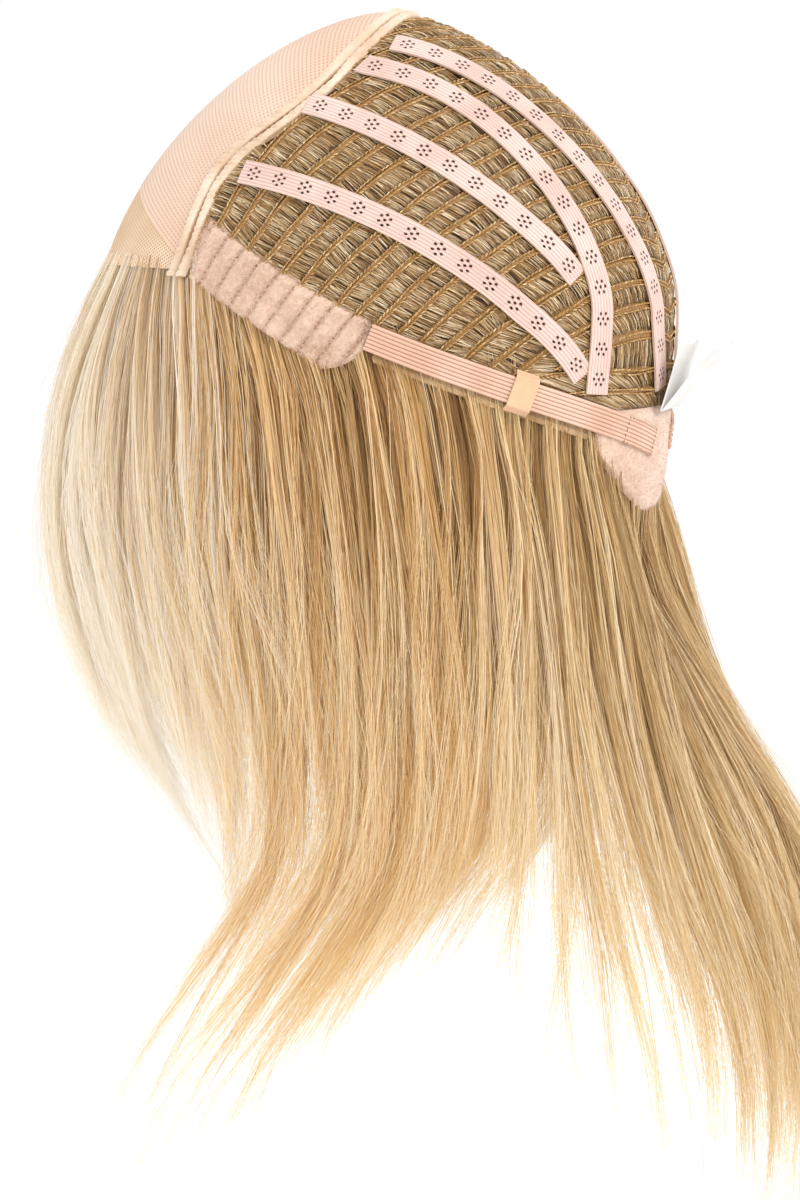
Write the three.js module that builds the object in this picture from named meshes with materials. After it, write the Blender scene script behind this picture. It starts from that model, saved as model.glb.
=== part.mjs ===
// Monofilament top wig, turned inside out: the sewn inner side of the cap faces outwards and the
// hair hangs out of the cap's opening.
// Millimetres and degrees, +Z up. The forehead is at -Y, the nape at +Y and the right side at +X.
// The origin is the crown seat: the highest point of the hollow, where the top of a head rests.
import * as THREE from 'three';

// Cap: the inner face is a smooth dome about a centre on its widest level
const HALF_LENGTH = 98; // centre to forehead, and to the back of the head
const HALF_BREADTH = 75; // centre to the wall above the ear
const CROWN_HEIGHT = 97; // centre to the crown
const PLAN_POWER = 2.1; // 2 would make the plan an ellipse
const RISE_POWER = 1.6; // 2 would make the rise an ellipse
const NAPE_DEPTH = 69; // centre down to the tip of the nape patch
const NAPE_TAPER = 0.06; // share of the plan that the wall loses at the nape's tip
const GAP = 0.4; // clearance between pieces that are sewn together

// Wall thicknesses, and how far each layer lifts off the dome
const NET_WALL = 1;
const BINDING_GROOVE = 1.6;
const BINDING_RIDGE = 2.6;
const FRINGE_WALL = 1;
const TRACK_RIDGE = 2.2;
const FELT_WALL = 2.4;
const FELT_EDGE = 1.4;
const BAND_WALL = 2;
const RIBBON_BASE = 2.7;
const RIBBON_WALL = 1;

// Front of the cap, as slanted cuts that meet at the temples
const TEMPLE_Y = -48.5;
const HAIRLINE_Z = 13;
const SEAM_SLOPE = 140; // lace seam, rising forwards from the temple
const BINDING_SLOPE = 56.2; // binding, rising backwards from the temple to the crown
const BINDING_WIDTH = 8;
const BINDING_SWELL = 10.5; // forward bow of the binding above the temple
const SWELL_TURNS = [30, 120];
const BINDING_FOOT_Z = 10.5;
const MONO_CORNER = 4; // breadth of the monofilament where it runs out at the temple

// Lower edge of the cap. A bearing is 0 at the nape, 90 above the ear and 180 at the forehead.
const TAB_REAR = { bearing: 77, top: -2.2, bottom: -5 };
const TAB_FRONT = { top: 30, bottom: 10.5 };
const TAB_ROUND_BEARING = 90; // where the tab's straight lower edge turns into its round end
const TAB_LOWEST = -18;
const STRAP_FRONT = { bearing: 76, z: -8 };
const STRAP_FALL = 0.535; // drop for each degree towards the nape
const STRAP_END_BEARING = 7;
const STRAP_WIDTH = 9;
const STRAP_WALL = 1;
const BAND_ABOVE_STRAP = 5;
const BAND_BELOW_STRAP = 8;
const NAPE_BEARING = 26; // half the nape patch's breadth
const NAPE_TOP = -33;
const NAPE_CORNER = -45; // lower edge at the patch's side corners
const BAND_END_GAP = 0.5; // turn between the band and the pieces at its ends
const KEEPER_BEARING = 43;
const KEEPER_WIDTH = 8;
const KEEPER_REACH = 7; // half its length across the strap
const KEEPER_FOOT = 2.5;
const KEEPER_ROOF = { inside: 4.1, outside: 5.1 };

// Wefts: slanted tracks from ear to ear, then level ones over the nape
const WEFT_SLOPE = 41;
const WEFT_COUNT = 19;
const WEFT_TOP_OFFSET = 61; // distance of the first track's cut from the dome's centre
const WEFT_BOTTOM_OFFSET = -72;
const TRACK_BOW = 11; // upward bow of the tracks on each side of the head
const TRACK_BOW_TURN = 115; // where the bow runs out above the ear
const TRACK_FAN = { extra: 10, from: 10 }; // bow that the first track has more, and the offset where it starts
const NAPE_WEFT_LEVELS = [-32.4, -25.7, -19];
const NAPE_LENS_END = 1; // height that the lowest weft's lens has left at its ends
const TRACK_SHARE = 0.42; // part of a weft's breadth that is its sewn track
const WEFT_END_GAP = 3; // between the ends of the tracks and the binding

// Eyelet ribbons over the tracks
const RIBBON_WIDTH = 8.2;
const SIDE_RIBBONS = [
  { name: 'ribbon_side_low', from: { bearing: 118.5, z: 44 }, to: { bearing: 32.4, z: -15 }, bow: 4 },
  { name: 'ribbon_side_high', from: { bearing: 105, z: 66 }, to: { bearing: 32.8, z: 16.1 }, bow: 0 },
];
// A low gather draws a back ribbon sideways early on its way down, a high one late.
const UPRIGHT_RIBBONS = [
  { name: 'ribbon_back_outer', topX: 34, bottomX: 41, gather: 0.6, fromAngle: 88, toAngle: -18 },
  { name: 'ribbon_back_inner', topX: 25, bottomX: 10, gather: 2.5, fromAngle: 83, toAngle: -15.5 },
];

// Folded label over the nape
const LABEL = { breadth: 30, rootY: 98.8, rootZ: -36.5, wall: 1 };
const LABEL_LEAVES = [{ out: 8, up: 24 }, { out: 20, up: 24 }];

// Hair: how far it sweeps at some depths below the dome's centre, a row for each lock from the
// forehead to the nape. The left half mirrors the right.
const HAIR_DEPTHS = [40, 80, 130, 180, 230, 280, 325];
const HAIR_SPREAD = [1, 1.03, 1.05, 1.02, 0.95, 0.87, 0.8]; // breadth at those depths
const HAIR_LOCKS = [
  { bearing: 180, tip: 215, y: [-105, -111, -100, -76, -46, -30, -20] },
  { bearing: 155, tip: 222, y: [-95, -98, -87, -63, -36, -26, -24] },
  { bearing: 131, tip: 226, y: [-57, -57, -48, -30, -20, -30, -40] },
  { bearing: 113, tip: 302, y: [-29, -28, -20, -10, -31, -64, -84] },
  { bearing: 97, tip: 320, y: [-9, -8, 0, 7, -14, -49, -70] },
  { bearing: 80, tip: 328, y: [13, 15, 21, 26, -2, -42, -52] },
  { bearing: 64, tip: 316, y: [34, 38, 43, 44, 12, -32, -36] },
  { bearing: 51, tip: 246, y: [52, 55, 59, 62, 55, 30, 20] },
  { bearing: 39, tip: 268, y: [67, 71, 76, 85, 96, 90, 64] },
  { bearing: 24, tip: 324, y: [84, 90, 98, 112, 135, 146, 120] },
  { bearing: 0, tip: 318, y: [86, 84, 105, 135, 150, 151, 143] },
];
const HAIR_TUCK = 12; // length that runs up inside the cap
const HAIR_INSET = 1.2; // clearance inside the cap's wall
const HAIR_ROOT_WALL = 4;
const LOCK_WALL = { ridge: 11, valley: 4, tip: 1.2 };
const LOCK_LEAD = 0.2; // share of a lock's swell that it has at the rim
const LOCK_NOTCH = 75; // how far two locks part above the shorter one's tip
const COLUMNS_PER_LOCK = 4;
const HAIR_ROWS = 8;

const RIGHT = new THREE.Vector3(1, 0, 0);
const HALVINGS = 40;
const FAR_TURN = 150; // past the ends of all lines over the dome
const PROBE = 0.05; // step of the numeric slopes
const turnOf = THREE.MathUtils.degToRad;
const mix = THREE.MathUtils.lerp;
const vec = (x, y, z) => new THREE.Vector3(x, y, z);

// Dome

// Below zero inside the cap's inner face, zero on it
function capLevel(p) {
  const breadthShare = Math.abs(p.x / HALF_BREADTH) ** PLAN_POWER;
  const lengthShare = Math.abs(p.y / HALF_LENGTH) ** PLAN_POWER;
  const plan = (breadthShare + lengthShare) ** (1 / PLAN_POWER);
  if (p.z < 0) return plan - 1 + NAPE_TAPER * (p.z / NAPE_DEPTH) ** 2;
  return plan ** RISE_POWER + (p.z / CROWN_HEIGHT) ** RISE_POWER - 1;
}

// Last value in a range for which a test holds, where it holds at the start
function lastWhere(test, start, end) {
  let holds = start;
  let fails = end;
  for (let step = 0; step < HALVINGS; step += 1) {
    const middle = (holds + fails) / 2;
    if (test(middle)) holds = middle;
    else fails = middle;
  }
  return holds;
}

// Where a ray from inside meets the inner face
function onCap(from, direction) {
  const at = (reach) => from.clone().addScaledVector(direction, reach);
  return at(lastWhere((reach) => capLevel(at(reach)) < 0, 0, 2 * HALF_LENGTH));
}

function pullToCap(p) {
  const from = vec(0, 0, Math.min(p.z, 0));
  return onCap(from, p.clone().sub(from).normalize());
}

function capNormal(p) {
  const slope = (x, y, z) => capLevel(p.clone().add(vec(x, y, z))) - capLevel(p.clone().sub(vec(x, y, z)));
  return vec(slope(PROBE, 0, 0), slope(0, PROBE, 0), slope(0, 0, PROBE)).normalize();
}

// Lines on the dome

function atBearing(bearing, z) {
  const turn = turnOf(bearing);
  return onCap(vec(0, 0, z), vec(Math.sin(turn), Math.cos(turn), 0));
}

function bearingOf(p) {
  return THREE.MathUtils.radToDeg(Math.atan2(Math.abs(p.x), p.y));
}

// A slanted cut holds the X direction. Its slope is read in side view from +Y, its offset is the
// distance from the dome's centre, and a turn of 0 on it is in the middle plane.
function cutAxes(slope) {
  const turn = turnOf(slope);
  return { along: vec(0, Math.cos(turn), Math.sin(turn)), across: vec(0, -Math.sin(turn), Math.cos(turn)) };
}

function onCut(slope, offset, turnDegrees) {
  const { along, across } = cutAxes(slope);
  const turn = turnOf(turnDegrees);
  const direction = along.multiplyScalar(Math.cos(turn)).addScaledVector(RIGHT, Math.sin(turn));
  return onCap(across.multiplyScalar(offset), direction);
}

function steps(count, from, to, pointAt) {
  return Array.from({ length: count + 1 }, (_, i) => pointAt(mix(from, to, i / count)));
}

function cutLine(slope, offsetAt, endTurn, count) {
  return steps(count, -endTurn, endTurn, (turn) => onCut(slope, offsetAt(turn), turn));
}

// Shortest line over the dome between two points, bowed sideways in its middle
function arcLine(start, end, bow, count) {
  const side = start.clone().cross(end).normalize();
  return steps(count, 0, 1, (share) => {
    const p = start.clone().lerp(end, share).addScaledVector(side, bow * Math.sin(Math.PI * share));
    return pullToCap(p);
  });
}

function edgesOf(line, width) {
  const shift = (sign) => line.map((p, i) => {
    const ahead = line[Math.min(i + 1, line.length - 1)];
    const behind = line[Math.max(i - 1, 0)];
    const side = ahead.clone().sub(behind).cross(capNormal(p)).normalize();
    return pullToCap(p.clone().addScaledVector(side, (sign * width) / 2));
  });
  return [shift(-1), shift(1)];
}

// Closed solids

function closedGeometry(points, faces) {
  const geometry = new THREE.BufferGeometry();
  const corner = (i) => points[i];
  const share = ([a, b, c]) => corner(a).dot(corner(b).clone().cross(corner(c)));
  const volume = faces.reduce((sum, face) => sum + share(face), 0);
  const outward = volume > 0 ? faces : faces.map(([a, b, c]) => [a, c, b]);
  geometry.setAttribute('position', new THREE.Float32BufferAttribute(points.flatMap((p) => p.toArray()), 3));
  geometry.setIndex(outward.flat());
  geometry.computeVertexNormals();
  return geometry;
}

// Faces between rings of equal length. A ring is joined end to end, and so are the rings if looped.
function ringFaces(ringCount, ringLength, looped) {
  const faces = [];
  const last = looped ? ringCount : ringCount - 1;
  for (let i = 0; i < last; i += 1) {
    for (let k = 0; k < ringLength; k += 1) {
      const here = i * ringLength;
      const next = ((i + 1) % ringCount) * ringLength;
      const turn = (k + 1) % ringLength;
      faces.push([here + k, here + turn, next + turn], [here + k, next + turn, next + k]);
    }
  }
  return faces;
}

// Triangles that fill a section, wound as its points run
function sectionFaces(section) {
  const outline = section.map(([across, lift]) => new THREE.Vector2(across, lift));
  const sense = Math.sign(THREE.ShapeUtils.area(outline));
  return THREE.ShapeUtils.triangulateShape(outline, []).map(([a, b, c]) => {
    const area = THREE.ShapeUtils.area([outline[a], outline[b], outline[c]]);
    return Math.sign(area) === sense ? [a, b, c] : [a, c, b];
  });
}

// Wall between two edges on the dome. Its section is a closed list of pairs: share of the way from
// the first edge to the second, and lift off the dome.
function sweptWall(firstEdge, secondEdge, section) {
  const points = firstEdge.flatMap((first, i) => section.map(([across, lift]) => {
    const foot = pullToCap(first.clone().lerp(secondEdge[i], across));
    return foot.clone().addScaledVector(capNormal(foot), lift);
  }));
  const lastRing = (firstEdge.length - 1) * section.length;
  const ends = sectionFaces(section).flatMap(([a, b, c]) => [
    [a, c, b],
    [lastRing + a, lastRing + b, lastRing + c],
  ]);
  return closedGeometry(points, [...ringFaces(firstEdge.length, section.length, false), ...ends]);
}

// Section of a wall of even thickness, in rows that follow the dome
function evenSection(rows, base, wall) {
  const outer = steps(rows, 0, 1, (across) => [across, base + wall]);
  const inner = steps(rows, 1, 0, (across) => [across, base]);
  return [...outer, ...inner];
}

function feltSection(rows) {
  const outer = steps(rows, 0, 1, (across) => [across, across % 1 ? FELT_WALL : FELT_EDGE]);
  return [...outer, ...steps(rows, 1, 0, (across) => [across, 0])];
}

const mirrored = (line) => line.map((p) => vec(-p.x, p.y, p.z));

// Line of the binding

const bindingAxes = cutAxes(BINDING_SLOPE);
const bindingOffset = vec(0, TEMPLE_Y, HAIRLINE_Z).dot(bindingAxes.across);

function swellAt(turn) {
  const share = THREE.MathUtils.clamp(THREE.MathUtils.inverseLerp(...SWELL_TURNS, Math.abs(turn)), 0, 1);
  return BINDING_SWELL * Math.sin(Math.PI * share) ** 2;
}

// How far a point lies in front of the binding's middle line
function aheadOfBinding(p) {
  const rise = p.dot(bindingAxes.along);
  const turn = THREE.MathUtils.radToDeg(Math.atan2(p.x, rise));
  return p.dot(bindingAxes.across) - bindingOffset - swellAt(turn);
}

// Lower edge of the cap

const strapHeight = (bearing) => STRAP_FRONT.z - STRAP_FALL * (STRAP_FRONT.bearing - bearing);
const bandTop = (bearing) => strapHeight(bearing) + BAND_ABOVE_STRAP;
const bandBottom = (bearing) => strapHeight(bearing) - BAND_BELOW_STRAP;
const napeTop = (bearing) => Math.max(NAPE_TOP, bandTop(bearing));
const napeBottom = (bearing) => mix(-NAPE_DEPTH, NAPE_CORNER, (bearing / NAPE_BEARING) ** 2);

// Bearing at which a level line meets the back of the binding
function bindingBearing(z) {
  const behind = (bearing) => aheadOfBinding(atBearing(bearing, z)) < -(BINDING_WIDTH / 2 + 2 * GAP);
  return lastWhere(behind, TAB_ROUND_BEARING, FAR_TURN);
}

const tabTopFront = bindingBearing(TAB_FRONT.top);
const tabBottomFront = bindingBearing(TAB_FRONT.bottom);

function tabTop(bearing) {
  const share = (bearing - TAB_REAR.bearing) / (tabTopFront - TAB_REAR.bearing);
  return mix(TAB_REAR.top, TAB_FRONT.top, share);
}

function tabBottom(bearing) {
  if (bearing > TAB_ROUND_BEARING) {
    const share = (bearing - TAB_ROUND_BEARING) / (tabBottomFront - TAB_ROUND_BEARING);
    return mix(TAB_LOWEST, TAB_FRONT.bottom, share);
  }
  const share = (TAB_ROUND_BEARING - bearing) / (TAB_ROUND_BEARING - TAB_REAR.bearing);
  return TAB_REAR.bottom + (TAB_LOWEST - TAB_REAR.bottom) * Math.sqrt(Math.max(0, 1 - share ** 2));
}

// Height of the cap's lower rim at a bearing
function rimHeight(bearing) {
  if (bearing < NAPE_BEARING) return napeBottom(bearing);
  if (bearing < TAB_REAR.bearing) return bandBottom(bearing);
  if (bearing < tabBottomFront) return tabBottom(bearing);
  return HAIRLINE_Z;
}

// Front pieces

function bindingLine(shift, footZ, count) {
  const offsetAt = (turn) => bindingOffset + swellAt(turn) + shift;
  const above = (turn) => onCut(BINDING_SLOPE, offsetAt(turn), turn).z > footZ;
  return cutLine(BINDING_SLOPE, offsetAt, lastWhere(above, 0, FAR_TURN), count);
}

// Lace seam, which ends short of the binding
function seamLine(shift, endGap, count) {
  const offset = vec(0, TEMPLE_Y, HAIRLINE_Z).dot(cutAxes(SEAM_SLOPE).across) + shift;
  const clear = (turn) => aheadOfBinding(onCut(SEAM_SLOPE, offset, turn)) > BINDING_WIDTH / 2 + endGap;
  return cutLine(SEAM_SLOPE, () => offset, lastWhere(clear, 0, 90), count);
}

function laceFront() {
  const columns = 22;
  const clear = (bearing) => aheadOfBinding(atBearing(bearing, HAIRLINE_Z)) > BINDING_WIDTH / 2 + 2 * GAP;
  const end = lastWhere(clear, 180, 90);
  const hairline = steps(columns, 360 - end, end, (bearing) => atBearing(bearing, HAIRLINE_Z));
  return sweptWall(hairline, seamLine(GAP / 2, 2 * GAP, columns), evenSection(3, 0, NET_WALL));
}

function monoTop() {
  const columns = 24;
  const rear = bindingLine(BINDING_WIDTH / 2 + 2 * GAP, HAIRLINE_Z + 2 * MONO_CORNER, columns);
  return sweptWall(seamLine(-GAP / 2, MONO_CORNER, columns), rear, evenSection(7, 0, NET_WALL));
}

function monoBinding() {
  const columns = 28;
  const section = [
    [0, 0], [0, BINDING_GROOVE], [0.15, BINDING_RIDGE], [0.38, BINDING_RIDGE], [0.5, BINDING_GROOVE],
    [0.62, BINDING_RIDGE], [0.85, BINDING_RIDGE], [1, BINDING_GROOVE], [1, 0],
  ];
  const rear = bindingLine(-BINDING_WIDTH / 2, BINDING_FOOT_Z, columns);
  const front = bindingLine(BINDING_WIDTH / 2, BINDING_FOOT_Z, columns);
  return sweptWall(rear, front, section);
}

// Wefts

const trackSection = [
  [0, 0], [0, FRINGE_WALL], [1 - TRACK_SHARE, FRINGE_WALL],
  [1.05 - TRACK_SHARE, TRACK_RIDGE], [1, TRACK_RIDGE], [1, 0],
];

function weftFoot(bearing) {
  const [, , napeLensLevel] = NAPE_WEFT_LEVELS;
  const rim = bearing > TAB_REAR.bearing ? tabTop(bearing) : Math.max(bandTop(bearing), napeLensLevel);
  return rim + GAP;
}

function inWeftField(p) {
  return p.z > weftFoot(bearingOf(p)) && aheadOfBinding(p) < -(BINDING_WIDTH / 2 + WEFT_END_GAP);
}

// A track's line over the dome, up to the end of a test on its points
function trackLine(offset, count, test) {
  const fan = Math.max(0, THREE.MathUtils.inverseLerp(TRACK_FAN.from, WEFT_TOP_OFFSET, offset));
  const bow = TRACK_BOW + TRACK_FAN.extra * fan;
  const offsetAt = (turn) => offset + bow * Math.sin(Math.PI * Math.min(1, Math.abs(turn) / TRACK_BOW_TURN));
  const reach = lastWhere((turn) => test(onCut(WEFT_SLOPE, offsetAt(turn), turn)), 0, FAR_TURN);
  return cutLine(WEFT_SLOPE, offsetAt, reach, count);
}

function slantedWefts() {
  const pitch = (WEFT_TOP_OFFSET - WEFT_BOTTOM_OFFSET) / WEFT_COUNT;
  return Array.from({ length: WEFT_COUNT }, (_, i) => {
    const top = WEFT_TOP_OFFSET - i * pitch;
    const line = (offset) => trackLine(offset, 16, inWeftField);
    return sweptWall(line(top - pitch + GAP), line(top), trackSection);
  });
}

// Level wefts over the nape. The last one fills the lens below the lowest slanted track.
function napeWefts() {
  const columns = 12;
  const levelLine = (z) => {
    const reach = lastWhere((bearing) => z > napeTop(bearing) + GAP / 2, 0, TAB_REAR.bearing);
    return steps(columns, -reach, reach, (bearing) => atBearing(bearing, z));
  };
  const [low, middle, high] = NAPE_WEFT_LEVELS;
  const lens = trackLine(WEFT_BOTTOM_OFFSET - GAP / 2, columns, (p) => p.z > high + GAP + NAPE_LENS_END);
  const lensFoot = steps(columns, bearingOf(lens[0]), -bearingOf(lens[0]), (b) => atBearing(-b, high + GAP));
  return [
    sweptWall(levelLine(low), levelLine(middle - GAP), trackSection),
    sweptWall(levelLine(middle), levelLine(high - GAP), trackSection),
    sweptWall(lensFoot, lens, trackSection),
  ];
}

// Ribbons

const ribbonSection = evenSection(2, RIBBON_BASE, RIBBON_WALL);

function sideRibbonLine({ from, to, bow }) {
  return arcLine(atBearing(from.bearing, from.z), atBearing(to.bearing, to.z), bow, 14);
}

// Ribbon down the back, its angles read from +Y upwards
function uprightRibbonLine({ topX, bottomX, gather, fromAngle, toAngle }) {
  return steps(16, 0, 1, (share) => {
    const turn = turnOf(mix(fromAngle, toAngle, share));
    const x = mix(topX, bottomX, share ** gather);
    return onCap(vec(x, 0, 0), vec(0, Math.cos(turn), Math.sin(turn)));
  });
}

// Lower edge pieces, right side

function earTab() {
  const columns = 14;
  const top = steps(columns, TAB_REAR.bearing, tabTopFront, (b) => atBearing(b, tabTop(b)));
  const bottom = steps(columns, TAB_REAR.bearing, tabBottomFront, (b) => atBearing(b, tabBottom(b)));
  return [bottom, top];
}

function edgeBand() {
  const columns = 10;
  const rear = NAPE_BEARING + BAND_END_GAP;
  const front = TAB_REAR.bearing - BAND_END_GAP;
  const line = (heightAt) => steps(columns, rear, front, (b) => atBearing(b, heightAt(b)));
  return [line(bandBottom), line((b) => bandTop(b) - GAP)];
}

const strapLine = steps(16, STRAP_END_BEARING, STRAP_FRONT.bearing, (b) => atBearing(b, strapHeight(b)));

function napePatch() {
  const columns = 14;
  const edgeAt = (heightAt) => (b) => atBearing(b, heightAt(Math.abs(b)));
  const line = (heightAt) => steps(columns, -NAPE_BEARING, NAPE_BEARING, edgeAt(heightAt));
  return sweptWall(line(napeBottom), line((b) => napeTop(b) - GAP), feltSection(4));
}

// Cloth loop over the strap: a roof with two feet
function strapKeeper() {
  const onStrap = (bearing) => atBearing(bearing, strapHeight(bearing));
  const middle = onStrap(KEEPER_BEARING);
  const along = onStrap(KEEPER_BEARING + 1).sub(onStrap(KEEPER_BEARING - 1)).normalize();
  const across = along.clone().cross(capNormal(middle)).normalize();
  const edge = (side) => steps(1, -KEEPER_WIDTH / 2, KEEPER_WIDTH / 2, (shift) => {
    const p = middle.clone().addScaledVector(along, shift);
    return pullToCap(p.addScaledVector(across, side * KEEPER_REACH));
  });
  const { inside, outside } = KEEPER_ROOF;
  const footShare = (KEEPER_REACH - STRAP_WIDTH / 2 - GAP * 2) / (2 * KEEPER_REACH);
  const section = [
    [0, KEEPER_FOOT], [0, KEEPER_FOOT + 1], [footShare, outside], [0.5, outside], [1 - footShare, outside],
    [1, KEEPER_FOOT + 1], [1, KEEPER_FOOT], [1 - footShare, KEEPER_FOOT], [1 - footShare, inside],
    [0.5, inside], [footShare, inside], [footShare, KEEPER_FOOT],
  ];
  return [edge(-1), edge(1), section];
}

// Two leaves that spread from the seam
function foldedLabel() {
  const { breadth, rootY, rootZ, wall } = LABEL;
  const [near, far] = LABEL_LEAVES;
  const outline = new THREE.Shape([
    new THREE.Vector2(rootY, rootZ),
    new THREE.Vector2(rootY + near.out, rootZ + near.up),
    new THREE.Vector2(rootY + near.out + wall, rootZ + near.up),
    new THREE.Vector2(rootY + 2 * wall, rootZ + 3 * wall),
    new THREE.Vector2(rootY + far.out, rootZ + far.up),
    new THREE.Vector2(rootY + far.out + wall, rootZ + far.up - wall),
    new THREE.Vector2(rootY + 2 * wall, rootZ),
  ]);
  const geometry = new THREE.ExtrudeGeometry(outline, { depth: breadth, steps: 1, bevelEnabled: false });
  geometry.translate(0, 0, -breadth / 2);
  // The outline's plane becomes the middle plane, with its second axis upwards.
  geometry.applyMatrix4(new THREE.Matrix4().makeBasis(vec(0, 1, 0), vec(0, 0, 1), vec(1, 0, 0)));
  return geometry;
}

// Hair

const lockCount = HAIR_LOCKS.length - 1;
const lockLoop = [
  ...HAIR_LOCKS.map((lock) => ({ ...lock, side: 1 })),
  ...HAIR_LOCKS.slice(1, -1).reverse().map((lock) => ({ ...lock, side: -1 })),
];

// Smooth value between four neighbours
function cubic(a, b, c, d, share) {
  const slope = (c - a) / 2;
  const nextSlope = (d - b) / 2;
  const square = share ** 2;
  const cube = share ** 3;
  return (2 * cube - 3 * square + 1) * b + (cube - 2 * square + share) * slope
    + (3 * square - 2 * cube) * c + (cube - square) * nextSlope;
}

// Value around the closed loop of locks
function aroundLoop(valueOf, place) {
  const size = lockLoop.length;
  const first = Math.floor(place);
  const at = (i) => valueOf(lockLoop[(first + i + size) % size]);
  return cubic(at(-1), at(0), at(1), at(2), place - first);
}

// Smooth value along uneven stations
function alongStations(stations, values, at) {
  const last = stations.length - 1;
  let i = 0;
  while (i < last - 1 && stations[i + 1] < at) i += 1;
  const span = stations[i + 1] - stations[i];
  const slopeAt = (k) => {
    const low = Math.max(k - 1, 0);
    const high = Math.min(k + 1, last);
    return ((values[high] - values[low]) / (stations[high] - stations[low])) * span;
  };
  const share = (at - stations[i]) / span;
  const [start, end] = [values[i], values[i + 1]];
  return cubic(end - 2 * slopeAt(i), start, end, start + 2 * slopeAt(i + 1), share);
}

// Bearing of a place on the loop, mirrored on the left half
function placeBearing(place) {
  const half = place <= lockCount ? place : 2 * lockCount - place;
  const low = Math.min(Math.floor(half), lockCount - 1);
  return mix(HAIR_LOCKS[low].bearing, HAIR_LOCKS[low + 1].bearing, half - low);
}

// Middle of the hair's thickness at a place on the loop and a depth below the dome's centre
function hairPoint(place, depth) {
  const bearing = placeBearing(place);
  const side = place <= lockCount ? 1 : -1;
  const rimDepth = -rimHeight(bearing);
  const inside = HAIR_INSET + HAIR_ROOT_WALL / 2;
  const rooted = (z) => {
    const p = atBearing(bearing, z);
    p.addScaledVector(capNormal(p), -inside);
    return [side * p.x, p.y];
  };
  const free = HAIR_DEPTHS.map((_, i) => i).filter((i) => HAIR_DEPTHS[i] > rimDepth + HAIR_TUCK);
  const rootBreadth = (lock) => lock.side * atBearing(lock.bearing, 0).x;
  const stations = [rimDepth - HAIR_TUCK, rimDepth, ...free.map((i) => HAIR_DEPTHS[i])];
  const points = [
    rooted(-stations[0]),
    rooted(-rimDepth),
    ...free.map((i) => [
      HAIR_SPREAD[i] * aroundLoop(rootBreadth, place),
      aroundLoop((lock) => lock.y[i], place),
    ]),
  ];
  const x = alongStations(stations, points.map((p) => p[0]), depth);
  const y = alongStations(stations, points.map((p) => p[1]), depth);
  return vec(x, y, -depth);
}

function hairNormal(place, depth) {
  const size = lockLoop.length;
  const [after, before] = [place + PROBE, place - PROBE + size].map((p) => hairPoint(p % size, depth));
  const around = after.sub(before);
  const down = hairPoint(place, depth + PROBE).sub(hairPoint(place, depth - PROBE));
  return down.cross(around).normalize();
}

// Depth at which the hair ends: locks taper to tips, with a notch between neighbours
function tipDepth(place) {
  const size = lockLoop.length;
  const [low, high] = [Math.floor(place), Math.ceil(place) % size].map((i) => lockLoop[i].tip);
  const share = place - Math.floor(place);
  const notch = Math.min(low, high) - LOCK_NOTCH;
  const nearest = share < 0.5 ? low : high;
  return mix(nearest, notch, Math.sin(Math.PI * Math.min(share, 1 - share)));
}

function hairForm() {
  const columns = lockLoop.length * COLUMNS_PER_LOCK;
  const points = [];
  for (let column = 0; column < columns; column += 1) {
    const place = column / COLUMNS_PER_LOCK;
    const ridge = (1 + Math.cos(2 * Math.PI * place)) / 2;
    const rimDepth = -rimHeight(placeBearing(place));
    const hanging = steps(HAIR_ROWS - 1, rimDepth, tipDepth(place), (depth) => depth);
    const depths = [rimDepth - HAIR_TUCK, ...hanging];
    const faces = depths.map((depth, row) => {
      const share = Math.max(0, row - 1) / (HAIR_ROWS - 1);
      const fullness = Math.sqrt(Math.sin(Math.PI * Math.min(1, share + LOCK_LEAD)));
      const lockWall = mix(LOCK_WALL.valley, LOCK_WALL.ridge, ridge) * fullness;
      const wall = row < 2 ? HAIR_ROOT_WALL : Math.max(LOCK_WALL.tip, lockWall);
      const middle = hairPoint(place, depth);
      const normal = hairNormal(place, depth);
      return [1, -1].map((side) => middle.clone().addScaledVector(normal, (side * wall) / 2));
    });
    points.push(...faces.map(([outer]) => outer), ...faces.map(([, inner]) => inner).reverse());
  }
  return closedGeometry(points, ringFaces(columns, 2 * (HAIR_ROWS + 1), true));
}

// Assembly

const matt = (color, roughness) => new THREE.MeshStandardMaterial({ color, roughness, metalness: 0 });
const finish = {
  lace: matt('#e8cdb3', 0.85),
  mono: matt('#f5d6bd', 0.8),
  binding: matt('#f5dcc6', 0.9),
  weft: matt('#b08a58', 0.7),
  ribbon: matt('#efd2c4', 0.75),
  felt: matt('#ecd0ba', 0.95),
  band: matt('#d8b48c', 0.85),
  elastic: matt('#eac4b1', 0.75),
  keeper: matt('#f8dbbe', 0.8),
  label: matt('#f8f6f3', 0.6),
  hair: matt('#cda673', 0.5),
};

const wig = new THREE.Group();
const cap = new THREE.Group();
cap.position.z = -CROWN_HEIGHT;
wig.add(cap);

function addPiece(name, geometry, material) {
  const mesh = new THREE.Mesh(geometry, material);
  mesh.name = name;
  cap.add(mesh);
}

// A right-hand piece between two edges, and its mirror image
function addPair(name, [firstEdge, secondEdge], section, material) {
  addPiece(`${name}_right`, sweptWall(firstEdge, secondEdge, section), material);
  addPiece(`${name}_left`, sweptWall(mirrored(firstEdge), mirrored(secondEdge), section), material);
}

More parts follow.
